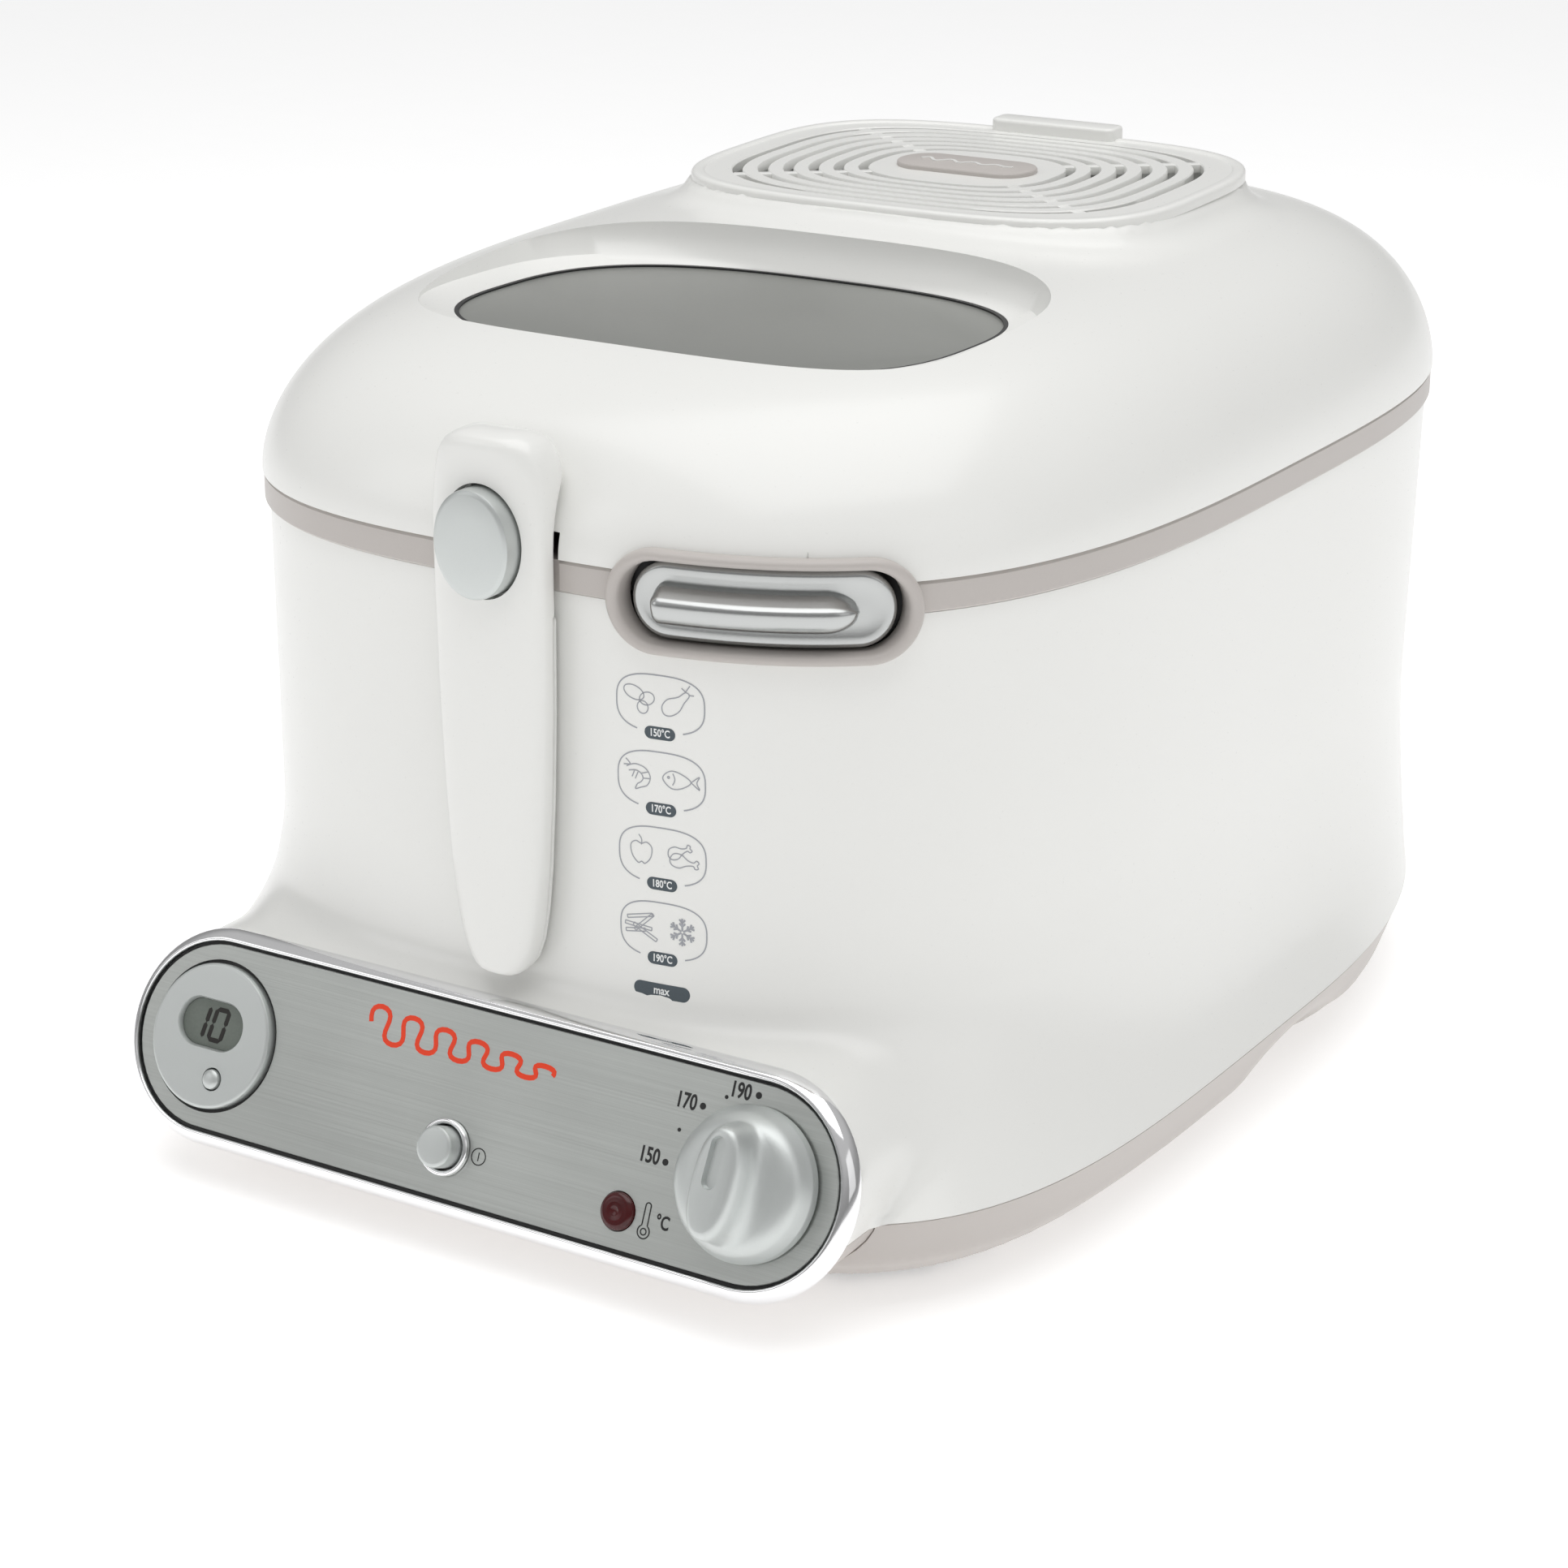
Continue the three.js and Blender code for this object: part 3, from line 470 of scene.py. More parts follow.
def podSeed(radius, start, end):
    ring = stadiumRing(panel["half"], radius, 120)
    lean = panel["lean"]
    rows = []
    for distance in (start, end):
        rows.append(np.column_stack([
            ring[:, 0],
            panel["middle"][1] + ring[:, 1] * math.sin(lean) + panel["setback"] * math.cos(lean) + distance,
            panel["middle"][2] + ring[:, 1] * math.cos(lean) - panel["setback"] * math.sin(lean),
        ]))
    return loftRings(rows)


# the curve of the rim near the lid catch, so that things can be bent round the corner
latch = {"x": 68.5, "z": 172.4}
cornerAngle = np.linspace(-math.pi / 2, 0, 1200)
rimHalfDepth = (rim[2] - rim[1]) / 2
cornerX = rim[0] * np.abs(np.cos(cornerAngle)) ** (2 / rim[3])
cornerY = (rim[1] + rim[2]) / 2 - rimHalfDepth * np.abs(np.sin(cornerAngle)) ** (2 / rim[3])
cornerRun = np.concatenate([[0], np.cumsum(np.hypot(np.diff(cornerX), np.diff(cornerY)))])
latchRun = np.interp(latch["x"], cornerX, cornerRun)
cornerNormalX = np.gradient(cornerY, cornerRun + np.arange(len(cornerRun)) * 1e-9)
cornerNormalY = -np.gradient(cornerX, cornerRun + np.arange(len(cornerRun)) * 1e-9)


def onCorner(along, up, out):
    # along the rim from the middle of the catch, up from it, and out from the rim's wall
    run = latchRun + along
    facing = [np.interp(run, cornerRun, side) for side in (cornerNormalX, cornerNormalY)]
    spot = Vector((np.interp(run, cornerRun, cornerX), np.interp(run, cornerRun, cornerY), latch["z"] + up))
    return spot + Vector((*facing, 0)).normalized() * out


def cornerRing(half, radius, out, count=96, radiusUp=None):
    ring = stadiumRing(half, radius, count)
    squeeze = 1.0 if radiusUp is None else radiusUp / radius
    return np.array([onCorner(x, y * squeeze, out)[:] for x, y in ring])


def cornerBlock(half, radius, inner, outer, count=96):
    # a bent block with curved ends, for cutting the recess of the catch
    inward = [(0.1, inner), (radius * 0.5, inner), (radius, inner)]
    outward = [(width, outer) for width, _ in inward[::-1]]
    return loftRings([cornerRing(half, width, out, count) for width, out in inward + outward])


def panelBlock(radius, start, end):
    # a bar-shaped block standing on the panel, for clearing what would come through its trim
    bar = barLoft([(radius, start), (radius, end)], panel["half"])
    bmesh.ops.transform(bar, matrix=onPanel(), verts=bar.verts[:])
    return bar


def keepSkin(bm, field, depth=0.7):
    centres = np.array([face.calc_center_median()[:] for face in bm.faces])
    buried = field(centres) < -depth
    bmesh.ops.delete(bm, geom=[face for face, drop in zip(bm.faces[:], buried) if drop], context="FACES")


def thicken(bm, wall):
    # a wall grown inwards from an open skin
    outward = sum(face.normal.xy.dot(face.calc_center_median().xy) * face.calc_area() for face in bm.faces)
    if outward < 0:
        bmesh.ops.reverse_faces(bm, faces=bm.faces[:])
    return evaluated(bm, "SOLIDIFY", thickness=wall, offset=-1, use_even_offset=False)


bodyRings = []
for height in (casing["ends"][0], 20, 28, 36, 48, 63, 83, 120, 150, casing["ends"][1]):
    plan = [float(value[0]) for value in casingPlans(np.array([float(height)]))]
    bodyRings.append(ringAt(plan, 200, height))
skin = join(loftRings(bodyRings), podSeed(panel["podRadius"], 0, 60))
skin = evaluated(skin, "REMESH", mode="VOXEL", voxel_size=casing["voxel"])
relaxed(skin, casingSkin, again=2)
skin = carve(skin, cornerBlock(26, 12.4, -14, 12))
skin = carve(skin, panelBlock(28.75, -panel["setback"] + 0.2, 30))
keepSkin(skin, lambda p: np.where(np.abs(beforePanel(p)) < 1.2, 0, bodyField(p)))
cutFlat(skin, (0, 0, casing["top"]), (0, 0, 1))
cutFlat(skin, (0, 0, casing["seam"]), (0, 0, -1))


def behindPlate(centre):
    point = np.array([centre[:]])
    return beforePanel(point)[0] > -0.4 and podField(point, grow=-5.5)[0] < 1.2


dropFaces(skin, behindPlate)
finish(thicken(skin, casing["wall"]), "casingMoulding", "whitePlastic", "body", ["outer_casing"],
       sharp=40, turn=False)
nose = podSeed(panel["podRadius"], 0, 34)
cutFlat(nose, (0, 0, casing["seam"] - 0.3), (0, 0, 1))
dropFaces(nose, lambda c: abs(c.x) < 60 and c.z > 16)
finish(thicken(nose, casing["wall"]), "noseUnderPanel", "taupePlastic", "body", (),
       turn=False)
print("casing ready")

# taupe skirt under the seam
skirt = {
    "seamPlan": (141.5, -183.5, 205.5, 4.5, 2.3), "top": 28, "voxel": 2.4, "wall": 2.4,
    "levels": [(2.6, 29.5), (3, 28), (3.8, 21.4), (8, 11.6), (15, 4.4), (28, 0), (34, -1.6)],
    "scoop": (144, 15, 1, 23, 40, 19), "scoopScale": 20, "scoopSoftness": 7,
}
skirtTable = np.array(skirt["levels"])


def skirtField(points):
    inset = np.interp(points[:, 2], skirtTable[:, 0], skirtTable[:, 1])
    side = planDistance(points, skirt["seamPlan"], grow=-inset)
    away = (np.column_stack([np.abs(points[:, 0]), points[:, 1:]]) - skirt["scoop"][:3]) / skirt["scoop"][3:]
    scoop = (1 - np.sqrt((away ** 2).sum(axis=1))) * skirt["scoopScale"]
    return smoothMax(side, scoop, skirt["scoopSoftness"])


def closedSkirt(points):
    height = points[:, 2]
    return np.where(height > 33, height - 34, np.where(height < 3.4, 3 - height, skirtField(points)))


skirtRings = [ringAt(skirt["seamPlan"], 200, height, grow=-inset) for height, inset in skirt["levels"][1:]]
skirtSkin = evaluated(loftRings(skirtRings), "REMESH", mode="VOXEL", voxel_size=skirt["voxel"])
relaxed(skirtSkin, closedSkirt, again=4)
skirtSkin = carve(skirtSkin, podSeed(panel["podRadius"] + 0.4, -12, 60))
keepSkin(skirtSkin, skirtField)
cutFlat(skirtSkin, (0, 0, skirt["top"]), (0, 0, 1))
dropFaces(skirtSkin, lambda c: c.z < 3.6 and abs(c.x) < 108 and -150 < c.y < 170)
finish(thicken(skirtSkin, skirt["wall"]), "skirtMoulding", "taupePlastic", "body", ["base_skirt"],
       sharp=40, turn=False)
print("skirt ready")

# band under the lid
band = {"low": 170.8, "high": 178.7, "inner": 20, "edge": 0.7, "notch": 16.8, "count": 260}
low, high, inner, edge = band["low"], band["high"], band["inner"], band["edge"]
bandProfile = [(-inner, low), (-edge, low), (0, low + edge), (0, high - edge), (-edge, high), (-inner, high)]
bandBody = stacked(rim, band["count"], bandProfile, joined=True)
bandBody = carve(bandBody, cornerBlock(26, 12.4, -11, 12))
bandBody = carve(bandBody, block((0, -170, 175), (2 * band["notch"], 13.5, 30)))
finish(bandBody, "rimBand", "taupePlastic", "body", ["rim_band"])
print("band ready")

# lid
lid = {
    "base": 179.0, "rise": 50, "slope": 0.0228, "fullness": 1.808, "grow": 0.35, "wall": 2.4, "voxel": 2.5,
    "window": (72, -114, -10, 2.8, 2.8), "lip": (83.5, -116.8, -6.4, 3.2, 2.9),
    "pane": 216.8, "fillet": 13, "handleNotch": 16.8,
}
grille = {
    "plan": (75.7, 7.7, 120.9, 3.5, 3.5), "top": 236.9, "lean": math.radians(1.9), "neck": -1.2,
    "seat": 233.4,
}
grilleMiddle = (grille["plan"][1] + grille["plan"][2]) / 2
rimMiddle = (rim[1] + rim[2]) / 2


def domeLevel(points):
    x, y = np.abs(points[:, 0]) / (rim[0] + lid["grow"]), points[:, 1] - rimMiddle
    power = np.where(y < 0, rim[3], rim[4])
    g = (x ** power + (np.abs(y) / (rimHalfDepth + lid["grow"])) ** power) ** (1 / power)
    height = lid["rise"] + lid["slope"] * y
    h = np.maximum(points[:, 2] - lid["base"], 0) / height
    return (g ** 5 + h ** lid["fullness"]) ** 0.3 - 1


def domeField(points):
    slope = np.sqrt((gradientOf(domeLevel, points, 0.1) ** 2).sum(axis=1))
    return domeLevel(points) / np.maximum(slope, 1e-3)


def pedestalField(points):
    side = planDistance(points, grille["plan"], grow=grille["neck"])
    height = points[:, 2] - (points[:, 1] - grilleMiddle) * math.sin(grille["lean"]) - grille["seat"]
    return smoothMax(side, height, 0.8)


def lidField(points):
    return smoothMin(domeField(points), pedestalField(points), lid["fillet"])


def closedLid(points):
    height = points[:, 2]
    return np.where(height < lid["base"] - 7, lid["base"] - 8 - height, lidField(points))


def domeHeight(flat, share):
    rise = (1 - share ** 5) ** (1 / lid["fullness"])
    return lid["base"] + (lid["rise"] + lid["slope"] * (flat[:, 1] - rimMiddle)) * rise


def leaned(bm):
    # tips a piece drawn level with the top of the grille
    turn = Matrix.Rotation(grille["lean"], 4, "X")
    spot = Matrix.Translation((0, grilleMiddle, grille["top"]))
    bmesh.ops.transform(bm, matrix=spot @ turn @ spot.inverted(), verts=bm.verts[:])
    return bm


domeRings = [ringAt(rim, 200, lid["base"] - 8, grow=lid["grow"])]
for share in (1, 0.985, 0.95, 0.9, 0.82, 0.7, 0.5, 0.25):
    crown = lambda flat, part=share: domeHeight(flat, part)
    domeRings.append(ringAt(rim, 200, crown, grow=lid["grow"], share=share))
pedestal = stacked(grille["plan"], 120, [(grille["neck"], 205), (grille["neck"], grille["seat"])])
shell = join(loftRings(domeRings), leaned(pedestal))
shell = evaluated(shell, "REMESH", mode="VOXEL", voxel_size=lid["voxel"])
relaxed(shell, closedLid, again=3)
windowWell = loftRings([
    ringAt(lid["window"], 160, lid["pane"] - 2.6, grow=0.3),
    ringAt(lid["window"], 160, lid["pane"] + 0.6, grow=0.3),
    ringAt((76, -115.4, -9.4, 3.0, 2.8), 160, lid["pane"] + 1.1),
    ringAt((81, -116.4, -8.4, 3.2, 2.85), 160, lid["pane"] + 2.6),
    ringAt((83.5, -116.8, -6.4, 3.2, 2.9), 160, lid["pane"] + 7.8),
    ringAt((84.5, -117.5, -5.4, 3.2, 2.9), 160, lid["pane"] + 16),
])
shell = carve(shell, windowWell)
shell = carve(shell, leaned(stacked(grille["plan"], 120, [(-5.2, 214), (-5.2, 250)])))
shell = carve(shell, cornerBlock(26, 12.4, -14, 12))
shell = carve(shell, block((0, -170, 190), (2 * lid["handleNotch"], 13.6, 42)))


def lidInside(centre):
    deep = lidField(np.array([centre[:]]))[0] < -0.7
    overWindow = planDistance(np.array([centre[:]]), lid["lip"], grow=4)[0] < 0
    inGrille = planDistance(np.array([centre[:]]), grille["plan"], grow=-4)[0] < 0
    if overWindow:
        return centre.z < lid["pane"] - 2.4
    if inGrille:
        return centre.z < 214.5
    return deep


dropFaces(shell, lidInside)
cutFlat(shell, (0, 0, lid["base"]), (0, 0, -1))
finish(thicken(shell, lid["wall"]), "lidDome", "whitePlastic", "lid", ["lid_shell"],
       sharp=38, turn=False)
print("lid ready")

# control panel
def ovalLoft(profile, count=96):
    # rings from (half width, half height, power, height)
    return loftRings([ringAt((a, -b, b, power, power), count, height) for a, b, power, height in profile])


def turned(profile, steps=64, close=True):
    # a spun shape from (radius, height) pairs
    bm = bmesh.new()
    verts = [bm.verts.new((radius, 0, height)) for radius, height in profile]
    edges = [bm.edges.new(pair) for pair in zip(verts, verts[1:])]
    if close:
        edges.append(bm.edges.new((verts[-1], verts[0])))
    bmesh.ops.spin(bm, geom=verts + edges, cent=(0, 0, 0), axis=(0, 0, 1), angle=2 * math.pi, steps=steps,
                   use_merge=True)
    bmesh.ops.remove_doubles(bm, verts=bm.verts[:], dist=0.001)
    bmesh.ops.recalc_face_normals(bm, faces=bm.faces[:])
    return bm


plateSet = {  # where things stand on the plate
    "timer": (-83, 0), "display": (-83.6, 3), "timerButton": (-79.4, -10.9), "power": (-4.6, -11.4),
    "pilot": (48.6, -14.9), "knob": (83, 0),
}
drillings = {"timer": 20.1, "power": 6.4, "pilot": 5.0, "knob": 4}  # radius of each hole
plate = barLoft([(24.1, -1.2), (24.1, -0.2), (23.95, 0)], panel["half"], 160)
for spotName, radius in drillings.items():
    drill = turned([(0, -5), (radius, -5), (radius, 5), (0, 5)], steps=72)
    move(drill, *plateSet[spotName], 0)
    plate = carve(plate, drill)
finish(plate, "brushedFascia", "brushedSteel", "body", ["control_panel_plate"],
       place=onPanel())

bezelProfile = [(25.0, -2.9), (25.0, 0.6), (25.1, 0.9), (25.35, 1.1), (25.7, 1.1), (26.2, 0.9), (26.8, 0.45),
                (27.4, -0.2), (27.9, -0.9), (28.3, -1.7), (28.55, -2.4), (28.6, -2.9)]
finish(barLoft(bezelProfile, 83, 200, joined=True), "fasciaTrim", "chrome", "body",
       ["panel_bezel"], place=onPanel(), sharp=60)
finish(barLoft([(23.6, -2.8), (25.3, -2.8), (25.3, -1.3), (23.6, -1.3)], 83, 160, joined=True),
       "fasciaShadowGap", "blackPlasticAndShade", "body", place=onPanel())

disc = turned([(0, -1.2), (19.1, -1.2), (19.1, 1.3), (18.9, 1.75), (18.5, 2.0), (18.0, 2.02), (0, 2.1)],
              steps=96)
lcdCut = barLoft([(6.2, -3), (6.2, 1.4), (6.8, 2.4), (7.2, 3)], 4.2, 96)
move(lcdCut, -0.6, 3, 0)
disc = carve(disc, lcdCut)
buttonCut = turned([(0, -3), (3.0, -3), (3.0, 1.6), (3.3, 3), (0, 3)], steps=48)
move(buttonCut, 3.6, -10.9, 0)
disc = carve(disc, buttonCut)
finish(disc, "timerDisc", "satinSilver", "body", ["timer_disc"],
       place=onPanel(*plateSet["timer"]))
# black ring behind the gap round the timer disc: painted shade in the gap
finish(turned([(18.4, -2.6), (20.6, -2.6), (20.6, -1.0), (18.4, -1.0)], 96), "timerShadowGap", "blackPlasticAndShade",
       "body", place=onPanel(*plateSet["timer"]))
finish(barLoft([(6.15, -0.9), (6.15, 0.25), (6.0, 0.4)], 4.2, 96), "timerGlass", "lcdGlass",
       "body", ["timer_display", "timer_lens"], place=onPanel(*plateSet["display"]))
# black disc behind the timer button: painted shade in the gap round it
finish(turned([(0, -2), (3.4, -2), (3.4, -0.6), (0, -0.6)], 32), "timerButtonShadowWell", "blackPlasticAndShade", "body",
       place=onPanel(*plateSet["timerButton"]))
finish(turned([(0, -2.4), (2.65, -2.4), (2.65, 2.0), (2.5, 2.7), (2.05, 3.15), (1.3, 3.4), (0, 3.5)], 40),
       "timerButton",
       "satinSilver", "timer_button_body", ["timer_button"],
       place=onPanel(*plateSet["timerButton"]))


def strokeBar(bm, start, end, width, depth=0.06, lift=0.0):
    # a flat inked bar with pointed ends
    start, end = Vector(start), Vector(end)
    along = (end - start).normalized()
    side = Vector((-along.y, along.x)) * width / 2
    tip = along * width / 2
    corners = [start, start + tip + side, end - tip + side, end, end - tip - side, start + tip - side]
    verts = [bm.verts.new((point.x, point.y, lift)) for point in corners]
    face = bm.faces.new(verts)
    raised = bmesh.ops.extrude_face_region(bm, geom=[face])
    bmesh.ops.translate(bm, verts=[item for item in raised["geom"] if isinstance(item, bmesh.types.BMVert)],
                        vec=(0, 0, depth))


digits = {"height": 8.2, "width": 4.0, "stroke": 1.25, "slant": 0.16, "lift": 0.42}
segments = {  # ends of each segment in a unit cell
    "top": ((0, 1), (1, 1)), "upperLeft": ((0, 0.5), (0, 1)), "upperRight": ((1, 0.5), (1, 1)),
    "lowerLeft": ((0, 0), (0, 0.5)), "lowerRight": ((1, 0), (1, 0.5)), "bottom": ((0, 0), (1, 0)),
}
ink = bmesh.new()
for left, names in ((-6.6, ("upperRight", "lowerRight")),
                    (-0.4, ("top", "upperLeft", "upperRight", "lowerLeft",
                                                              "lowerRight", "bottom"))):
    for name in names:
        ends = []
        for x, y in segments[name]:
            ends.append((left + x * digits["width"] + (y - 0.5) * digits["height"] * digits["slant"],
                         (y - 0.5) * digits["height"]))
        strokeBar(ink, ends[0], ends[1], digits["stroke"], lift=digits["lift"])
finish(ink, "timerDigits", "lcdInk", "body", place=onPanel(*plateSet["display"]))

finish(turned([(5.75, -6), (6.3, -6), (6.3, 0.2), (7.3, 0.3), (7.3, 1.2), (7.0, 1.7), (6.5, 1.8), (6.05, 1.5),
               (5.8, 0.8)], 72), "powerRing", "chrome", "body", ["power_button_ring"],
       place=onPanel(*plateSet["power"]), sharp=50)
finish(turned([(0, -4.6), (5.35, -4.6), (5.35, 4.9), (5.15, 5.4), (4.7, 5.7), (4.2, 5.78), (0, 5.85)], 72),
       "powerButton", "satinSilver", "power_button_body", ["power_button"],
       place=onPanel(*plateSet["power"]))
# black disc behind the power button: painted shade in the gap round it
finish(turned([(0, -8), (5.9, -8), (5.9, -6.2), (0, -6.2)], 40), "powerShadowWell", "blackPlasticAndShade", "body",
       place=onPanel(*plateSet["power"]))
finish(turned([(0, -2), (4.75, -2), (4.75, 0.5), (4.5, 0.9), (4.0, 1.15), (3.3, 1.55), (3.1, 1.45),
               (2.4, 1.85),
               (2.2, 1.75), (1.4, 2.05), (1.2, 1.9), (0, 1.75)], 64), "pilotLens", "redLens", "body",
       ["pilot_lens"], place=onPanel(*plateSet["pilot"]), sharp=70)

knobProfile = [(19.1, 19.1, 2, 0.9), (19.1, 19.1, 2, 2.6), (18.8, 18.8, 2, 3.4), (18.1, 18.1, 2, 4.6),
               (17.6, 17.6, 2, 6.2), (16.9, 16.9, 2, 7.5), (15.9, 16.2, 2, 8.4), (14.3, 15.6, 2, 9.1),
               (11.8, 15.2, 2.05, 9.5), (9.6, 15.0, 2.1, 9.9), (8.0, 14.8, 2.2, 10.8),
               (7.1, 14.5, 2.25, 12.2),
               (6.6, 14.2, 2.3, 14.2), (6.2, 13.9, 2.35, 16.4), (5.9, 13.6, 2.4, 17.6),
               (5.5, 13.2, 2.4, 18.3),
               (4.9, 12.6, 2.4, 18.75), (4.2, 11.8, 2.4, 18.9), (2.0, 9.0, 2.4, 19.0), (0.4, 6.5, 2.2, 19.0)]
knob = ovalLoft(knobProfile, 120)
groove = barLoft([(1.5, 17.6), (1.8, 18.4), (2.1, 19.6)], 4.6, 48)
bmesh.ops.rotate(groove, verts=groove.verts[:], cent=(0, 0, 0), matrix=Matrix.Rotation(math.pi / 2, 3, "Z"))
move(groove, -0.6, 4.8, 0)
knob = carve(knob, groove)
finish(knob, "thermostatKnob", "satinSilver", "knob", ["thermostat_knob"],
       place=onPanel(*plateSet["knob"]) @ Matrix.Rotation(math.radians(-3), 4, "Z"), sharp=42)
print("panel ready")


# printing on the panel
def textPiece(words, size, squeeze=0.74, thick=0.03):
    # lettering as a flat mesh centred on the origin, in millimetres
    letters = bpy.data.curves.new("letters", "FONT")
    letters.body = words
    letters.size = size
    letters.align_x, letters.align_y = "CENTER", "CENTER"
    letters.extrude = thick
    letters.offset = 0.022 * size
    letters.resolution_u = 4
    item = bpy.data.objects.new("letters", letters)
    bpy.context.scene.collection.objects.link(item)
    graph = bpy.context.evaluated_depsgraph_get()
    graph.update()
    mesh = bpy.data.meshes.new_from_object(item.evaluated_get(graph))
    bpy.data.objects.remove(item)
    bpy.data.curves.remove(letters)
    bm = fromMesh(mesh)
    bmesh.ops.scale(bm, verts=bm.verts[:], vec=(squeeze, 1, 1))
    return bm


def ribbon(points, width, closed=False, depth=0.05):
    # a flat ribbon of even width along points in a plane
    path = [Vector(point) for point in points]
    count = len(path)
    rows = []
    for i, point in enumerate(path):
        before = path[i - 1] if i > 0 else (path[-1] if closed else point)
        after = path[(i + 1) % count] if (closed or i < count - 1) else point
        along = (after - before).normalized()
        side = Vector((-along.y, along.x)) * width / 2
        left, right = point - side, point + side
        rows.append([(*left, 0), (*right, 0), (*right, depth), (*left, depth)])
    return loftRings(rows, joined=closed)


def smoothPath(points, closed=False, steps=6):
    # a rounded path through a few given points
    path = [Vector(point) for point in points]
    count = len(path)
    out = []
    for i in range(count if closed else count - 1):
        a = path[i - 1] if (i > 0 or closed) else path[0]
        b, c = path[i], path[(i + 1) % count]
        d = path[(i + 2) % count] if (closed or i + 2 < count) else path[-1]
        for step in range(steps):
            t = step / steps
            out.append(0.5 * ((2 * b) + (c - a) * t + (2 * a - 5 * b + 4 * c - d) * t * t
                              + (3 * b - a - 3 * c + d) * t ** 3))
    if not closed:
        out.append(path[-1])
    return out


def ovalPath(cx, cy, rx, ry, tilt=0.0, count=20, start=0.0, sweep=360.0):
    out = []
    turn = math.radians(tilt)
    full = abs(sweep - 360) < 0.1
    for i in range(count if full else count + 1):
        angle = math.radians(start + sweep * i / count)
        x, y = rx * math.cos(angle), ry * math.sin(angle)
        c, s = math.cos(turn), math.sin(turn)
        out.append(Vector((cx + x * c - y * s, cy + x * s + y * c)))
    return out


panelPrint = [textPiece("150", 5.4), textPiece("170", 5.4), textPiece("190", 5.4), textPiece("°C", 4.8)]
for word, spot in zip(panelPrint, ((54, 0.2), (61, 15.3), (75.2, 21.0), (61.6, -14.8))):
    move(word, spot[0], spot[1], 0.04)
for spot, radius in (((58.8, -0.3), 0.85), ((65.8, 15.2), 0.85), ((80.3, 21.1), 0.85), ((60.7, 8.2), 0.5),
                     ((71.7, 18.8), 0.5)):
    dot = turned([(0, 0), (radius, 0), (radius, 0.06), (0, 0.06)], 20)
    move(dot, spot[0], spot[1], 0)
    panelPrint.append(dot)
thermometer = ovalPath(0, -3.2, 1.7, 1.7, start=118, sweep=304) + [Vector((0.75, 3.1))] + ovalPath(
    0, 3.2, 0.75, 0.75, start=0, sweep=180, count=8)
for path, width, closed in ((thermometer, 0.32, True), (ovalPath(0, -3.2, 0.8, 0.8), 0.32, True)):
    mark = ribbon(path, width, closed)
    move(mark, 56.8, -14.8, 0.01)
    panelPrint.append(mark)
for path, closed in ((ovalPath(5.6, -11.5, 2.1, 2.1), True), ([(5.6, -12.6), (5.6, -10.4)], False)):
    panelPrint.append(ribbon(path, 0.3, closed))
finish(join(*panelPrint), "dialPrinting", "blackInk", "body", place=onPanel())

wave = {"from": -35.0, "to": 22.0, "middle": 14.3, "tall": 4.6, "humps": 5.5, "width": 1.35,
        "curl": 1.4, "sink": 1.6}
steam = []
for i in range(111):
    share = i / 110
    fade = 1 - 0.62 * share
    turn = 2 * math.pi * wave["humps"] * share
    across = wave["from"] + (wave["to"] - wave["from"]) * share - wave["curl"] * math.sin(2 * turn)
    steam.append((across, wave["middle"] - wave["sink"] * share + wave["tall"] * fade * math.sin(turn)))
finish(ribbon(steam, wave["width"]), "steamMark", "orangeInk", "body", place=onPanel())
print("panel printing ready")

# lid catch on the front corner
catchProfile = [(10.3, -4.5), (10.3, 1.0), (10.55, 1.8), (11.1, 2.4), (11.8, 2.55), (12.5, 2.2), (12.95, 1.4),
                (13.1, 0.3), (13.1, -1.9), (12.2, -2.6), (12.2, -4.5)]
catchRings = [cornerRing(25.0 + (0.9 if radius > 11.5 else 0.0), radius, out, 140) for radius,
              out in catchProfile]
finish(loftRings(catchRings, joined=True), "catchSurround", "taupePlastic", "body", ["lever_bezel"],
       sharp=60)
# black plate deep behind the opening round the lever: painted shade in the gap
shadowPocketRings = [cornerRing(25.4, 11.4, out, 100) for out in (-9.0, -8.0)]
finish(loftRings(shadowPocketRings), "catchShadowPocket", "blackPlasticAndShade", "body")
facePlate = [(9.5, -6.0), (9.5, -2.4), (9.3, -1.7), (8.8, -1.2), (8.0, -1.0), (6.5, -1.25), (5.0, -1.6),
             (3.0, -1.6),
             (1.2, -1.6), (0.15, -1.6)]
face = loftRings([cornerRing(23.7, radius, out, 120) for radius, out in facePlate])
grip = {"left": -27.2, "right": 23.5, "floor": -2.6,
        "section": [(4.6, -2.6), (4.5, -1.0), (4.0, 0.4), (3.0, 1.8), (2.1, 3.2),
                                               (1.5, 4.2), (0.8, 4.7), (-0.4, 4.75), (-2.2, 4.3), (-3.6, 3.6),
                                               (-4.5, 2.6), (-4.9, 1.0), (-4.9, -2.6)]}
gripRings = []
for i in range(61):
    share = i / 60
    run = grip["left"] + (grip["right"] - grip["left"]) * share
    leftEnd = math.sqrt(max(0, 1 - max(0, 1 - share * 17) ** 2))
    rightEnd = math.sqrt(max(0, 1 - max(0, 1 - (1 - share) * 6) ** 2))
    scale = max(0.05, min(leftEnd, rightEnd))
    lift = 0.35 + 0.65 * scale if share > 0.5 else scale
    section = [(up * scale, grip["floor"] + (out - grip["floor"]) * lift) for up, out in grip["section"]]
    gripRings.append([onCorner(run, up, out)[:] for up, out in section])
lever = join(face, loftRings(gripRings))
finish(lever, "catchLever", "leverMetal", "lever", ["lid_release_lever"], sharp=50)
print("catch ready")

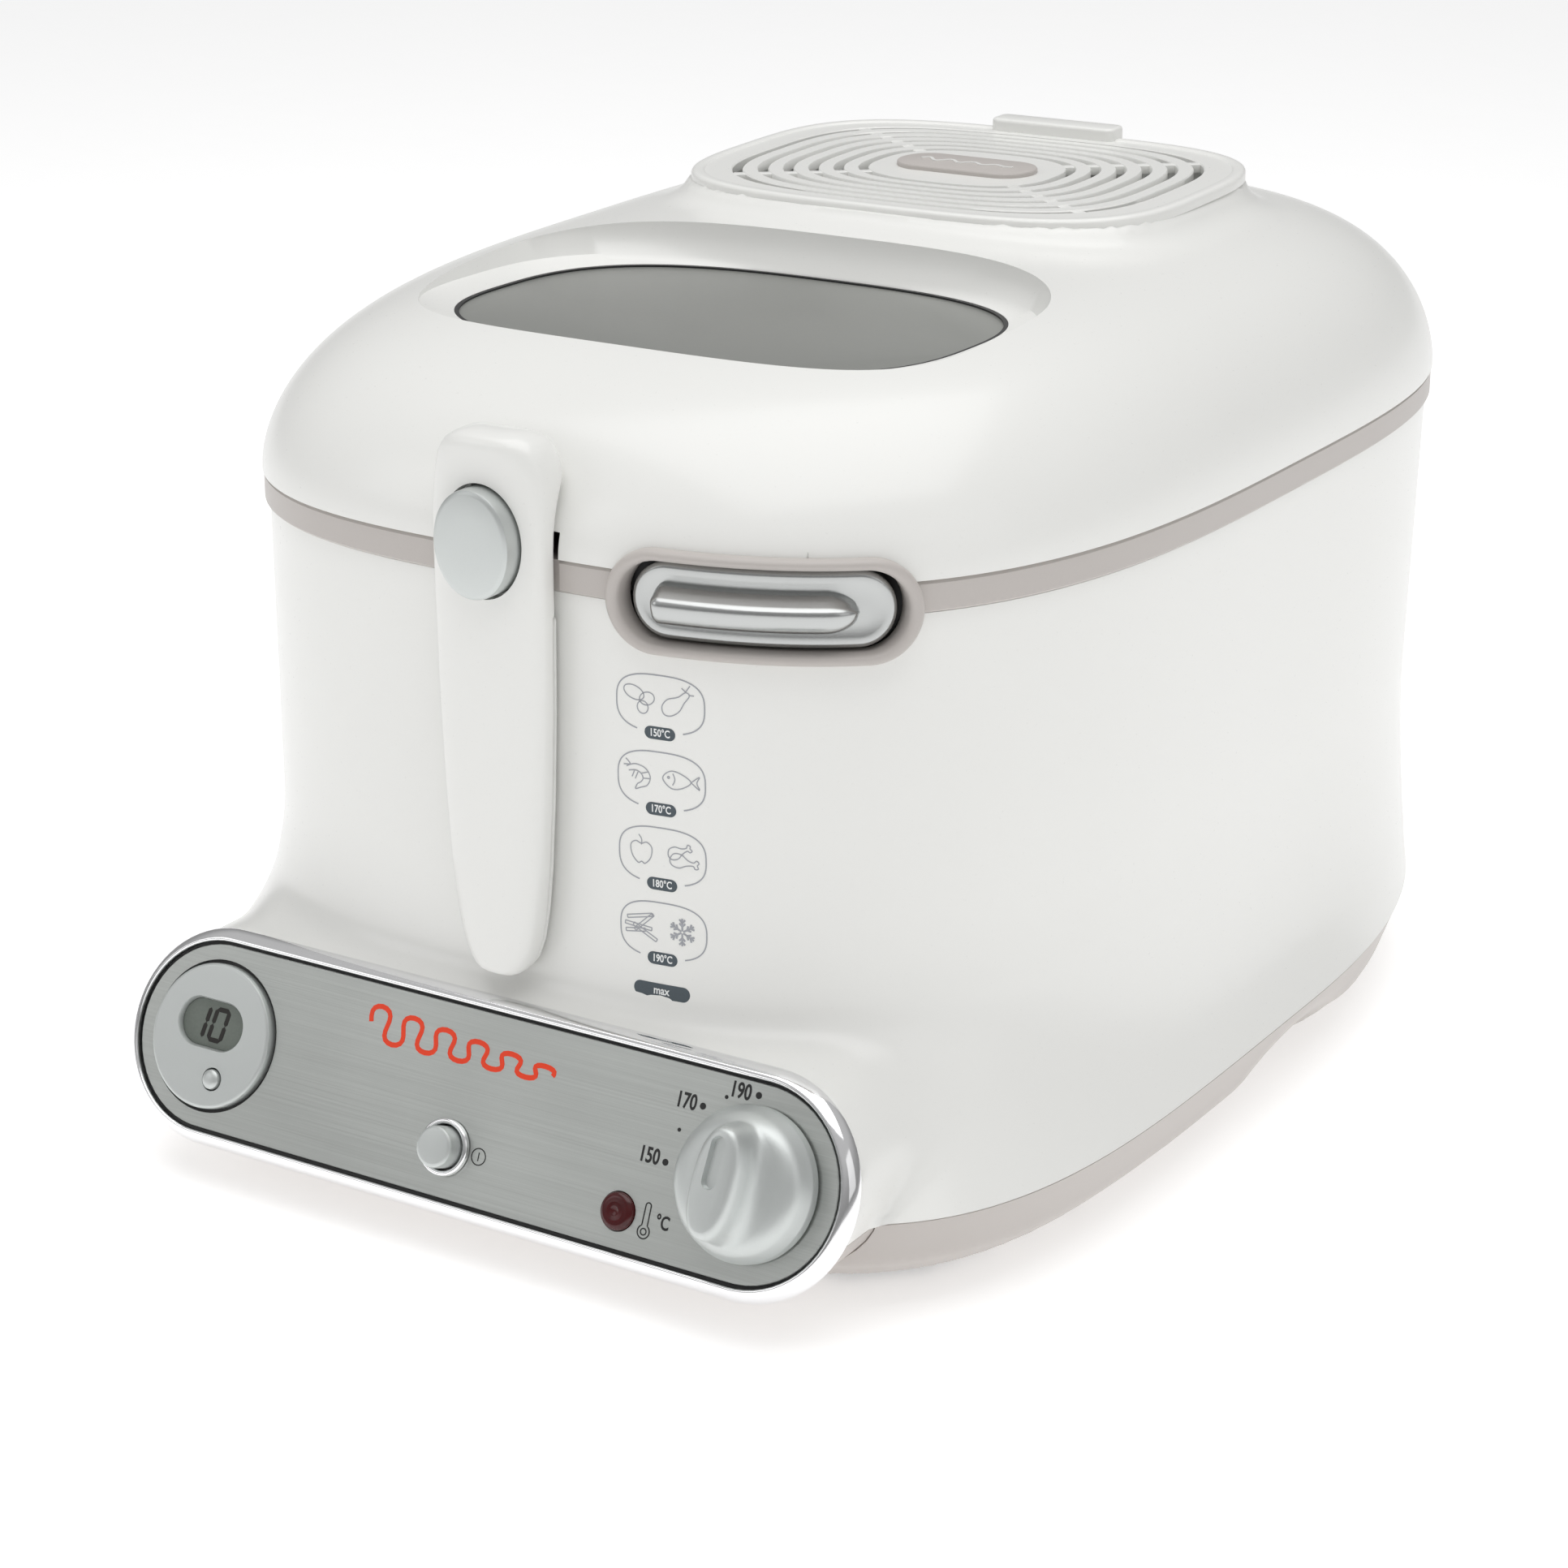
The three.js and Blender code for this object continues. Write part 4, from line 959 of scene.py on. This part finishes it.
# carrying handle of the basket
handle = {
    "top": 209.5, "tip": 69.8, "front": -172.6, "back": -163.6, "seam": -166.45, "step": 165,
    "headDepth": ((184, 190, 195, 199), (0, 1.2, 3.6, 6.0)),
    "widths": [(69.8, 3), (71.5, 6.5), (75, 9.2), (80, 11.0), (88, 12.6), (100, 13.9), (118, 15.1),
               (140, 16.0),
               (165, 16.45), (190, 16.6), (199, 16.3), (204, 14.9), (207.2, 12.3), (209.0, 8.6),
               (209.5, 5.0)],
}
widthTable = np.array(handle["widths"])


def handleRings(low, high, front, back, inset=0.0, round=2.6):
    rings = []
    count = 44
    for i in range(count + 1):
        share = 0.5 - 0.5 * math.cos(math.pi * i / count)
        height = low + (high - low) * share
        half = np.interp(height, widthTable[:, 0], widthTable[:, 1]) - inset
        fromTop = (high - height) / round
        fromTip = (height - low) / round
        deep = back + (np.interp(height, *handle["headDepth"]) if round > 2 else 0)
        shrink = math.sqrt(max(0.02, 1 - max(0, 1 - min(fromTop, fromTip)) ** 2))
        middle = (front + deep) / 2
        depth = (deep - front) / 2 * shrink
        ring = planRing((half, middle - depth, middle + depth, 3.4, 5.0), 72)
        crown = 0.5 * (1 - (ring[:, 0] / half) ** 2) - 0.25
        y = np.where(ring[:, 1] < middle, ring[:, 1] - crown * shrink, ring[:, 1])
        rings.append(np.column_stack([ring[:, 0], y, np.full(len(ring), height)]))
    return rings


frontShell = loftRings(handleRings(handle["tip"], handle["top"], handle["front"] + 0.2, handle["back"]))
lowerCut = block((0, handle["seam"] + 10, handle["step"] - 60), (60, 20, 120))
frontShell = carve(frontShell, lowerCut)
upperPocket = block((0, -160, 188.6), (10.6, 20.4, 35.4))
frontShell = carve(frontShell, upperPocket)
buttonHole = loftRings([ringAt((11.7, -14.4, 14.4, 2.05, 2.05), 80, height) for height in (0, 12)])
toFront = Matrix(((1, 0, 0), (0, 0, -1), (0, 1, 0))).to_4x4()
bmesh.ops.transform(buttonHole, matrix=Matrix.Translation((0, -168.4, 183)) @ toFront,
                    verts=buttonHole.verts[:])
frontShell = carve(frontShell, buttonHole)
finish(frontShell, "handleFront", "whitePlastic", "handle", ["handle_front_shell"], sharp=45)
backShell = loftRings(handleRings(handle["tip"] + 0.9, handle["step"] - 0.4, handle["seam"] + 0.5,
                                  handle["back"],
                                  inset=0.35, round=1.2))
finish(backShell, "handleBack", "whitePlastic", "handle", ["handle_rear_shell"], sharp=45)
buttonRings = [(11, 13.6, 2.05, 169.0), (11, 13.6, 2.05, 176.0), (10.85, 13.45, 2.05, 176.6),
               (10.4, 13.0, 2.05, 177.0), (9.6, 12.2, 2.05, 177.2), (5, 7, 2.05, 177.45),
               (0.5, 1.5, 2, 177.5)]
finish(ovalLoft(buttonRings, 96), "handleButton", "satinSilver", "handle_button_body",
       ["handle_button"], place=Matrix.Translation((0, 0, 183)) @ toFront)
# black disc behind the handle button: painted shade in the recess round it
finish(turned([(0, 0), (11.3, 0), (11.3, 0.4), (0, 0.4)], 60), "handleButtonShadowWell", "blackPlasticAndShade", "handle",
       place=Matrix.Translation((0, -168.2, 183)) @ toFront @ Matrix.Diagonal((1, 1.22, 1, 1)))
print("handle ready")

# window in the lid
pane = stacked(lid["window"], 160, [(3.4, 215.0), (3.4, 216.6), (3.1, 216.8)])
finish(pane, "windowPane", "windowGlass", "lid", ["window_pane"])
# a black ring at the edge of the pane: painted shadow of the gap between the shell's edge and the glass
paneShadowLine = [(0.28, 216.7), (0.28, 217.3), (-0.8, 217.3), (-0.8, 216.7)]
finish(stacked(lid["window"], 160, paneShadowLine, joined=True), "windowShadowLine", "blackPlasticAndShade", "lid")

# vented filter cover
vents = {"slots": [0.84, 0.75, 0.66, 0.57, 0.48, 0.39], "half": 0.0175, "turns": (33, 147, 213, 327)}


def ventPlan(share):
    power = 2.25 + 1.2 * share
    return (75.7, 7.7, 120.9, power, power)


def ventRing(outer, inner, high, low, soft=0.35):
    top = grille["top"]
    outerPlan, innerPlan = ventPlan(outer), ventPlan(inner)
    return loftRings([
        ringAt(outerPlan, 160, top - low, share=outer),
        ringAt(outerPlan, 160, top - high - soft, share=outer),
        ringAt(outerPlan, 160, top - high, share=outer, grow=-soft),
        ringAt(innerPlan, 160, top - high, share=inner, grow=soft),
        ringAt(innerPlan, 160, top - high - soft, share=inner),
        ringAt(innerPlan, 160, top - low, share=inner),
    ], joined=True)


cover = []
top = grille["top"]
rimRings = [(0, -3.2), (0, -1.0), (-0.3, -0.4), (-0.9, -0.05), (-1.6, 0), (-2.8, 0), (-3.2, -0.15),
            (-3.5, -0.45)]
outerPlan = ventPlan(1)
outer = [ringAt(outerPlan, 160, top + height, grow=grow) for grow, height in rimRings]
first = vents["slots"][0] + vents["half"]
innerEdge = [ringAt(ventPlan(first), 160, top - 0.45, share=first, grow=0.35),
             ringAt(ventPlan(first), 160, top - 0.8, share=first),
             ringAt(ventPlan(first), 160, top - 3.2, share=first)]
cover.append(loftRings(outer + innerEdge, joined=True))
for here, inside in zip(vents["slots"], vents["slots"][1:]):
    cover.append(ventRing(here - vents["half"], inside + vents["half"], 0.45, 3.2))
last = vents["slots"][-1] - vents["half"]
hub = [(-3.2, 0), (-0.8, 0), (-0.45, -0.35)]
cover.append(loftRings([ringAt(ventPlan(last), 120, top + up, share=last, grow=grow) for up, grow in hub]))
for turn in vents["turns"]:
    spoke = block((40, 0, top - 1.85), (34, 3.4, 2.5))
    bmesh.ops.bevel(spoke, geom=spoke.edges[:], offset=0.3, segments=2, profile=0.5, affect="EDGES",
                    material=-1)
    angle = math.radians(turn)
    reach = 1 / ((abs(math.cos(angle)) / 75.7) ** 3 + (abs(math.sin(angle)) / 56.6) ** 3) ** (1 / 3)
    low, high = (last - 0.02) * reach, (first + 0.02) * reach
    for vert in spoke.verts:
        vert.co.x = low + (vert.co.x - 23) / 34 * (high - low)
    bmesh.ops.rotate(spoke, verts=spoke.verts[:], cent=(0, 0, 0), matrix=Matrix.Rotation(angle, 3, "Z"))
    move(spoke, 0, grilleMiddle, 0)
    cover.append(spoke)
tab = block((0, 119.5, top + 0.2), (41, 9, 6.0))
upright = [edge for edge in tab.edges if abs(edge.verts[0].co.z - edge.verts[1].co.z) > 1]
bmesh.ops.bevel(tab, geom=upright, offset=2.6, segments=5, profile=0.5, affect="EDGES", material=-1)
topEdges = [edge for edge in tab.edges if min(edge.verts[0].co.z, edge.verts[1].co.z) > top + 3]
bmesh.ops.bevel(tab, geom=topEdges, offset=1.1, segments=4, profile=0.5, affect="EDGES", material=-1)
cover.append(tab)
collar = [(-5.6, top - 10), (-5.6, top - 3), (-7.8, top - 3), (-7.8, top - 10)]
cover.append(stacked(grille["plan"], 120, collar, joined=True))
finish(leaned(join(*cover)), "ventCover", "whitePlastic", "filter_lid", ["filter_cover"],
       sharp=40)
badge = barLoft([(9.1, top - 0.6), (9.1, top + 0.5), (8.9, top + 0.8), (8.4, top + 0.95)], 12.6, 96)
move(badge, 0, grilleMiddle, 0)
finish(leaned(badge), "coverBadge", "taupePlastic", "filter_lid", ["filter_badge"])
badgeWave = [(-15 + i * 0.5, 1.7 * math.sin(i * 0.42) * (1 - i / 90)) for i in range(61)]
crest = ribbon(badgeWave, 0.9, depth=0.35)
move(crest, 0, grilleMiddle, top + 0.9)
finish(leaned(crest), "badgeWave", "whitePlastic", "filter_lid")
print("filter cover ready")

# frying guide printed on the front wall
guide = {"middle": 43.1, "heights": (146.2, 126.7, 107.2, 87.6), "half": 11.9, "tall": 7.3, "bend": 0.72,
         "line": 0.28,
         "words": ("150°C", "170°C", "180°C", "190°C"), "pillDrop": 7.4}


def onWall(x, height):
    # a spot on the front wall of the casing, and the way out from it
    plan = casingPlans(np.array([float(height)]))
    halfWidth, front, back, frontPower, backPower = [float(value[0]) for value in plan]
    middle, halfDepth = (front + back) / 2, (back - front) / 2
    share = max(0.0, 1 - (abs(x) / halfWidth) ** frontPower)
    y = middle - halfDepth * share ** (1 / frontPower)
    slope = (abs(x) / halfWidth) ** (frontPower - 1) * halfDepth / halfWidth
    return (x, y, height), Vector((slope, -1, 0)).normalized()[:]


def onGuide(bm, centre, lift=0.0):
    # bends a flat drawing onto the wall, its local X and Y becoming along and up the wall
    spots, normals = [], []
    for vert in bm.verts:
        x, height = guide["middle"] + centre[0] + vert.co.x * 0.97, centre[1] + vert.co.y
        spot, normal = onWall(x, height)
        spots.append(spot)
        normals.append(normal)
    spots, normals = np.array(spots), np.array(normals)
    for _ in range(5):
        spots = spots - normals * bodyField(spots)[:, None]
    for vert, spot, normal in zip(bm.verts, spots, normals):
        vert.co = spot + normal * (vert.co.z + lift + 0.02)
    return bm


def drawn(paths, centre, width):
    parts = []
    for path, closed in paths:
        dense = smoothPath(path, closed, 5)
        if len(path) == 2:
            dense = [Vector(path[0]).lerp(Vector(path[1]), k / 3) for k in range(4)]
        parts.append(ribbon(dense, width, closed))
    return onGuide(join(*parts), centre)


def shifted(path, dx, dy, tilt=0.0, size=1.0):
    c, s = math.cos(math.radians(tilt)), math.sin(math.radians(tilt))
    return [(dx + size * (x * c - y * s), dy + size * (x * s + y * c)) for x, y in path]


potatoes = [(ovalPath(-7.0, 1.6, 2.9, 1.7, -18, 12), True), (ovalPath(-3.4, 0.4, 2.1, 1.6, 20, 12), True),
            (ovalPath(-4.6, -1.9, 1.5, 1.6, 0, 12), True)]
aubergine = [([(1.2, -2.9), (0.7, -1.0), (2.2, 0.9), (5.0, 1.8), (7.0, 3.2), (8.0, 2.4), (6.6, 0.4),
               (5.2, -1.9),
               (3.0, -3.2)], True), ([(7.0, 3.3), (8.2, 5.0)], False), ([(7.0, 3.4), (6.0, 4.2)], False),
             ([(7.8, 2.6), (9.2, 2.6)], False)]
prawn = [([(-9.4, 1.9), (-7.0, 2.8), (-4.2, 2.1), (-2.8, 0.0), (-3.6, -2.2), (-5.4, -3.0)], False),
         ([(-8.8, 0.9), (-6.8, 1.2), (-5.4, 0.6), (-4.8, -0.6), (-5.4, -1.6), (-6.4, -2.2)], False),
         ([(-9.6, 3.9), (-8.4, 2.6), (-10.2, 2.3)], False), ([(-7.2, 1.0), (-7.9, -0.6)], False),
         ([(-6.2, 0.8), (-7.0, -1.0)], False), ([(-5.4, -3.0), (-7.0, -3.6), (-6.4, -2.2)], False),
         ([(-5.2, 0.6), (-3.3, 1.2)], False), ([(-4.9, -0.6), (-2.9, -0.5)], False)]
fish = [([(0.6, 0.2), (2.6, 2.2), (5.4, 1.9), (8.2, 0.0), (5.6, -1.9), (2.8, -2.1)], True),
        ([(8.2, 0.0), (10.4, 1.6), (9.7, 0.0), (10.4, -1.7), (8.2, 0.0)], False),
        (ovalPath(2.2, 0.6, 0.25, 0.25, 0, 8), True), ([(3.4, 1.7), (3.9, 0.2), (3.3, -1.3)], False)]
apple = [([(-5.6, 1.9), (-7.2, 2.4), (-8.6, 1.2), (-8.2, -1.4), (-6.6, -3.2), (-5.6, -2.8), (-4.6, -3.2),
           (-3.0, -1.4),
           (-2.7, 1.2), (-4.1, 2.4)], True), ([(-5.6, 1.6), (-5.5, 3.0), (-6.3, 4.2)], False)]
drumstick = [(-4.4, -0.2), (-3.4, 1.7), (-1.2, 2.0), (0.8, 0.9), (2.6, 0.6), (3.4, 1.4), (4.2, 0.8),
             (3.8, 0.1),
             (4.2, -0.8), (3.3, -1.1), (2.6, -0.4), (0.6, -0.9), (-1.4, -2.0), (-3.6, -1.7)]
drumsticks = [(shifted(drumstick, 6.2, -1.4, -8, 0.9), True), (shifted(drumstick, 5.0, 1.2, 22, 0.78), True)]
fries = []
for x, y, tilt, long in ((-6.4, 2.4, 12, 7.2), (-5.2, 0.9, 42, 7.0), (-6.8, -0.3, -6, 7.6),
                         (-4.9, -1.7, -28, 7.4),
                         (-7.6, -1.5, 8, 5.6)):
    bar = [(-long / 2, -0.42), (long / 2, -0.42), (long / 2, 0.42), (-long / 2, 0.42), (-long / 2, -0.42)]
    corners = shifted(bar, x, y, tilt)
    for start, end in zip(corners, corners[1:]):
        fries.append(([start, end], False))
flake = []
for arm in range(6):
    turn = 60 * arm + 30
    flake.append((shifted([(0.3, 0), (3.6, 0)], 5.4, -0.2, turn), False))
    for at in (1.5, 2.5):
        for side in (-1, 1):
            flake.append((shifted([(at, 0), (at + 0.8, side * 0.8)], 5.4, -0.2, turn), False))

outlines, pills, pillWords = [], [], []
for height, word, pictures in zip(guide["heights"], guide["words"],
                                  ((potatoes + aubergine), (prawn + fish), (apple + drumsticks), fries)):
    oval = []
    for i in range(73):
        angle = math.radians(-90 + 24 + (360 - 48) * i / 72)
        c, s = math.cos(angle), math.sin(angle)
        across, up = [math.copysign(abs(v) ** guide["bend"], v) for v in (c, s)]
        oval.append((across * guide["half"], up * guide["tall"]))
    ringLine = onGuide(ribbon(oval, 0.34), (0, height))
    outlines += [ringLine, drawn(pictures, (0, height + 0.6), guide["line"])]
    if pictures is fries:
        outlines.append(drawn(flake, (0, height + 0.6), 0.5))
    pill = barLoft([(1.62, 0), (1.62, 0.05)], 2.55, 40)
    bmesh.ops.subdivide_edges(pill, edges=[e for e in pill.edges if e.calc_length() > 2], cuts=9)
    pills.append(onGuide(pill, (0, height - guide["pillDrop"])))
    words = textPiece(word, 2.7, 0.8, 0.02)
    pillWords.append(onGuide(words, (0, height - guide["pillDrop"]), lift=0.1))
bottomPill = barLoft([(1.9, 0), (1.9, 0.05)], 6.0, 160)
pills.append(onGuide(bottomPill, (0, 71.8)))
pillWords.append(onGuide(textPiece("max", 2.9, 0.9, 0.02), (0, 71.9), lift=0.16))
finish(join(*outlines), "fryingGuideLines", "greyInk", "body", turn=False)
finish(join(*pills), "fryingGuidePills", "slateInk", "body", turn=False)
finish(join(*pillWords), "fryingGuideNumbers", "whiteInk", "body", turn=False)
print("printing on the wall ready")

# bowl, lid lining and basket
bowl = {"plan": (101, -131, 157, 3.2, 3.2), "profile": [
               (-12, 46.0), (-8.5, 46.6), (-5.6, 49.0), (-3.4, 53.5), (-2, 61), (-0.6, 120), (0, 179.0),
               (0.6, 179.3),
               (10.2, 179.3), (10.5, 179.6), (10.5, 180.1), (10.2, 180.3), (0.3, 180.3), (-1.0, 179.8),
               (-1.6, 178.4),
               (-2.3, 120), (-3.6, 61.5), (-5.0, 54.6), (-7.0, 50.8), (-9.4, 48.4), (-12.5, 47.6)]}
finish(stacked(bowl["plan"], 140, bowl["profile"]), "fryingBowl",
       "bowlCoating", "body", ["frying_bowl"], sharp=60)
lining = {"plan": (108.5, -138, 165, 3.2, 3.2),
          "levels": [(0, 182.2), (1.6, 192), (4.0, 198.5), (7, 203), (11.5, 207), (17, 209.6), (27, 211),
                     (40, 211.4)]}
liningOuter = [ringAt(lining["plan"], 140, height, grow=-inset) for inset, height in lining["levels"]]
liningInner = [ringAt(lining["plan"], 140, height - 1.3, grow=-inset - 1.3) for inset,
               height in lining["levels"]]
liningBody = loftRings(liningInner[::-1] + [ringAt(lining["plan"], 140, 182.2, grow=-1.3)] + liningOuter)
for plan, grow in ((lid["window"], -1.5), (grille["plan"], -14)):
    liningBody = carve(liningBody, stacked(plan, 120, [(grow, 200), (grow, 222)]))
finish(liningBody, "lidLining", "zincPlate", "lid", ["lid_liner"], sharp=40)
seal = [(1.5, 180.4), (1.9, 181.1), (1.5, 181.9), (-1.0, 181.9), (-2.0, 181.3), (-3.2, 181.9), (-4.5, 181.9),
        (-4.5, 180.4), (-3.0, 180.0), (-1.5, 180.4)]
finish(stacked(lining["plan"], 160, seal, joined=True), "lidSeal",
       "rubber", "lid", ["lid_gasket"], sharp=50)

basket = {"plan": (90, -114, 138, 3.2, 3.2), "low": 56, "high": 146, "wire": 0.55, "loops": 15}


def wireLoop(plan, height, radius, grow=0.0, sides=6, count=120):
    rings = []
    for i in range(sides):
        angle = 2 * math.pi * i / sides
        rings.append(ringAt(plan, count, height + radius * math.sin(angle),
                            grow=grow + radius * math.cos(angle)))
    return loftRings(rings, joined=True)


def wireAlong(points, radius, sides=5):
    # a round wire through points
    path = [Vector(point) for point in points]
    rows = []
    for i, point in enumerate(path):
        along = (path[min(i + 1, len(path) - 1)] - path[max(i - 1, 0)]).normalized()
        side = along.cross(Vector((0, 0, 1)) if abs(along.z) < 0.9 else Vector((0, 1, 0))).normalized()
        other = along.cross(side)
        turns = [2 * math.pi * k / sides for k in range(sides)]
        rows.append([point + radius * (side * math.cos(turn) + other * math.sin(turn)) for turn in turns])
    return loftRings(rows)


wires = []
for i in range(basket["loops"]):
    share = i / (basket["loops"] - 1)
    height = basket["low"] + 4 + share * (basket["high"] - basket["low"] - 6)
    wires.append(wireLoop(basket["plan"], height, basket["wire"], grow=-5.2 + 4.6 * share))
foot, mouth = planRing(basket["plan"], 96, -9.5), planRing(basket["plan"], 96, -0.2)
knee = planRing(basket["plan"], 96, -5.6)
for low, bend, high in zip(foot, knee, mouth):
    wires.append(wireAlong([(low[0], low[1], basket["low"] + 0.8), (bend[0], bend[1], basket["low"] + 3.6),
                            (high[0], high[1], basket["high"] + 1.0)], basket["wire"], 4))
for axis, reach, count in ((0, 80.5, 21), (1, 116.5, 29)):
    plan = basket["plan"]
    for i in range(count):
        share = -1 + 2 * (i + 0.5) / count
        other = (116.5 if axis == 0 else 80.5) * (1 - abs(share) ** 3.2) ** (1 / 3.2)
        middle = (plan[1] + plan[2]) / 2
        at = share * reach
        ends = [(at, middle - other), (at, middle + other)]
        if axis == 1:
            ends = [(-other, middle + at), (other, middle + at)]
        wires.append(wireAlong([(x, y, basket["low"] + 0.8 + 0.6 * axis) for x, y in ends], basket["wire"],
                               4))
finish(join(*wires), "basketMesh", "zincPlate", "basket_body", ["basket"], sharp=70)
finish(wireLoop(basket["plan"], basket["high"] + 2.6, 2.2, grow=0.4, sides=10, count=140), "basketRim",
       "zincPlate", "basket_body", ["basket_rim_wire"], sharp=70)
print("bowl, lining and basket ready")

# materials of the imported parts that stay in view
cadLooks = {
    "zincPlate": "heat_shield heating_element element_terminal thermostat_shaft latch_hook grease_filter hinge_pin "
                 "handle_pivot_pin handle_bracket basket_hanger base_screw_1 base_screw_2 base_screw_3 base_screw_4",
    "blackPlasticAndShade": "safety_cutout power_switch pilot_lamp thermostat_switch",
    "rubber": "cord_gland window_gasket foot_1 foot_2 foot_3 foot_4",
    "taupePlastic": "bottom_plate hinge_bracket", "boardGreen": "timer_board", "whiteMatt": "latch_striker",
}
cadFinish = {name: look for look, names in cadLooks.items() for name in names.split()}
for name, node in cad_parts.items():
    if name in cadFinish:
        node.data.materials.clear()
        node.data.materials.append(finishes[cadFinish[name]])
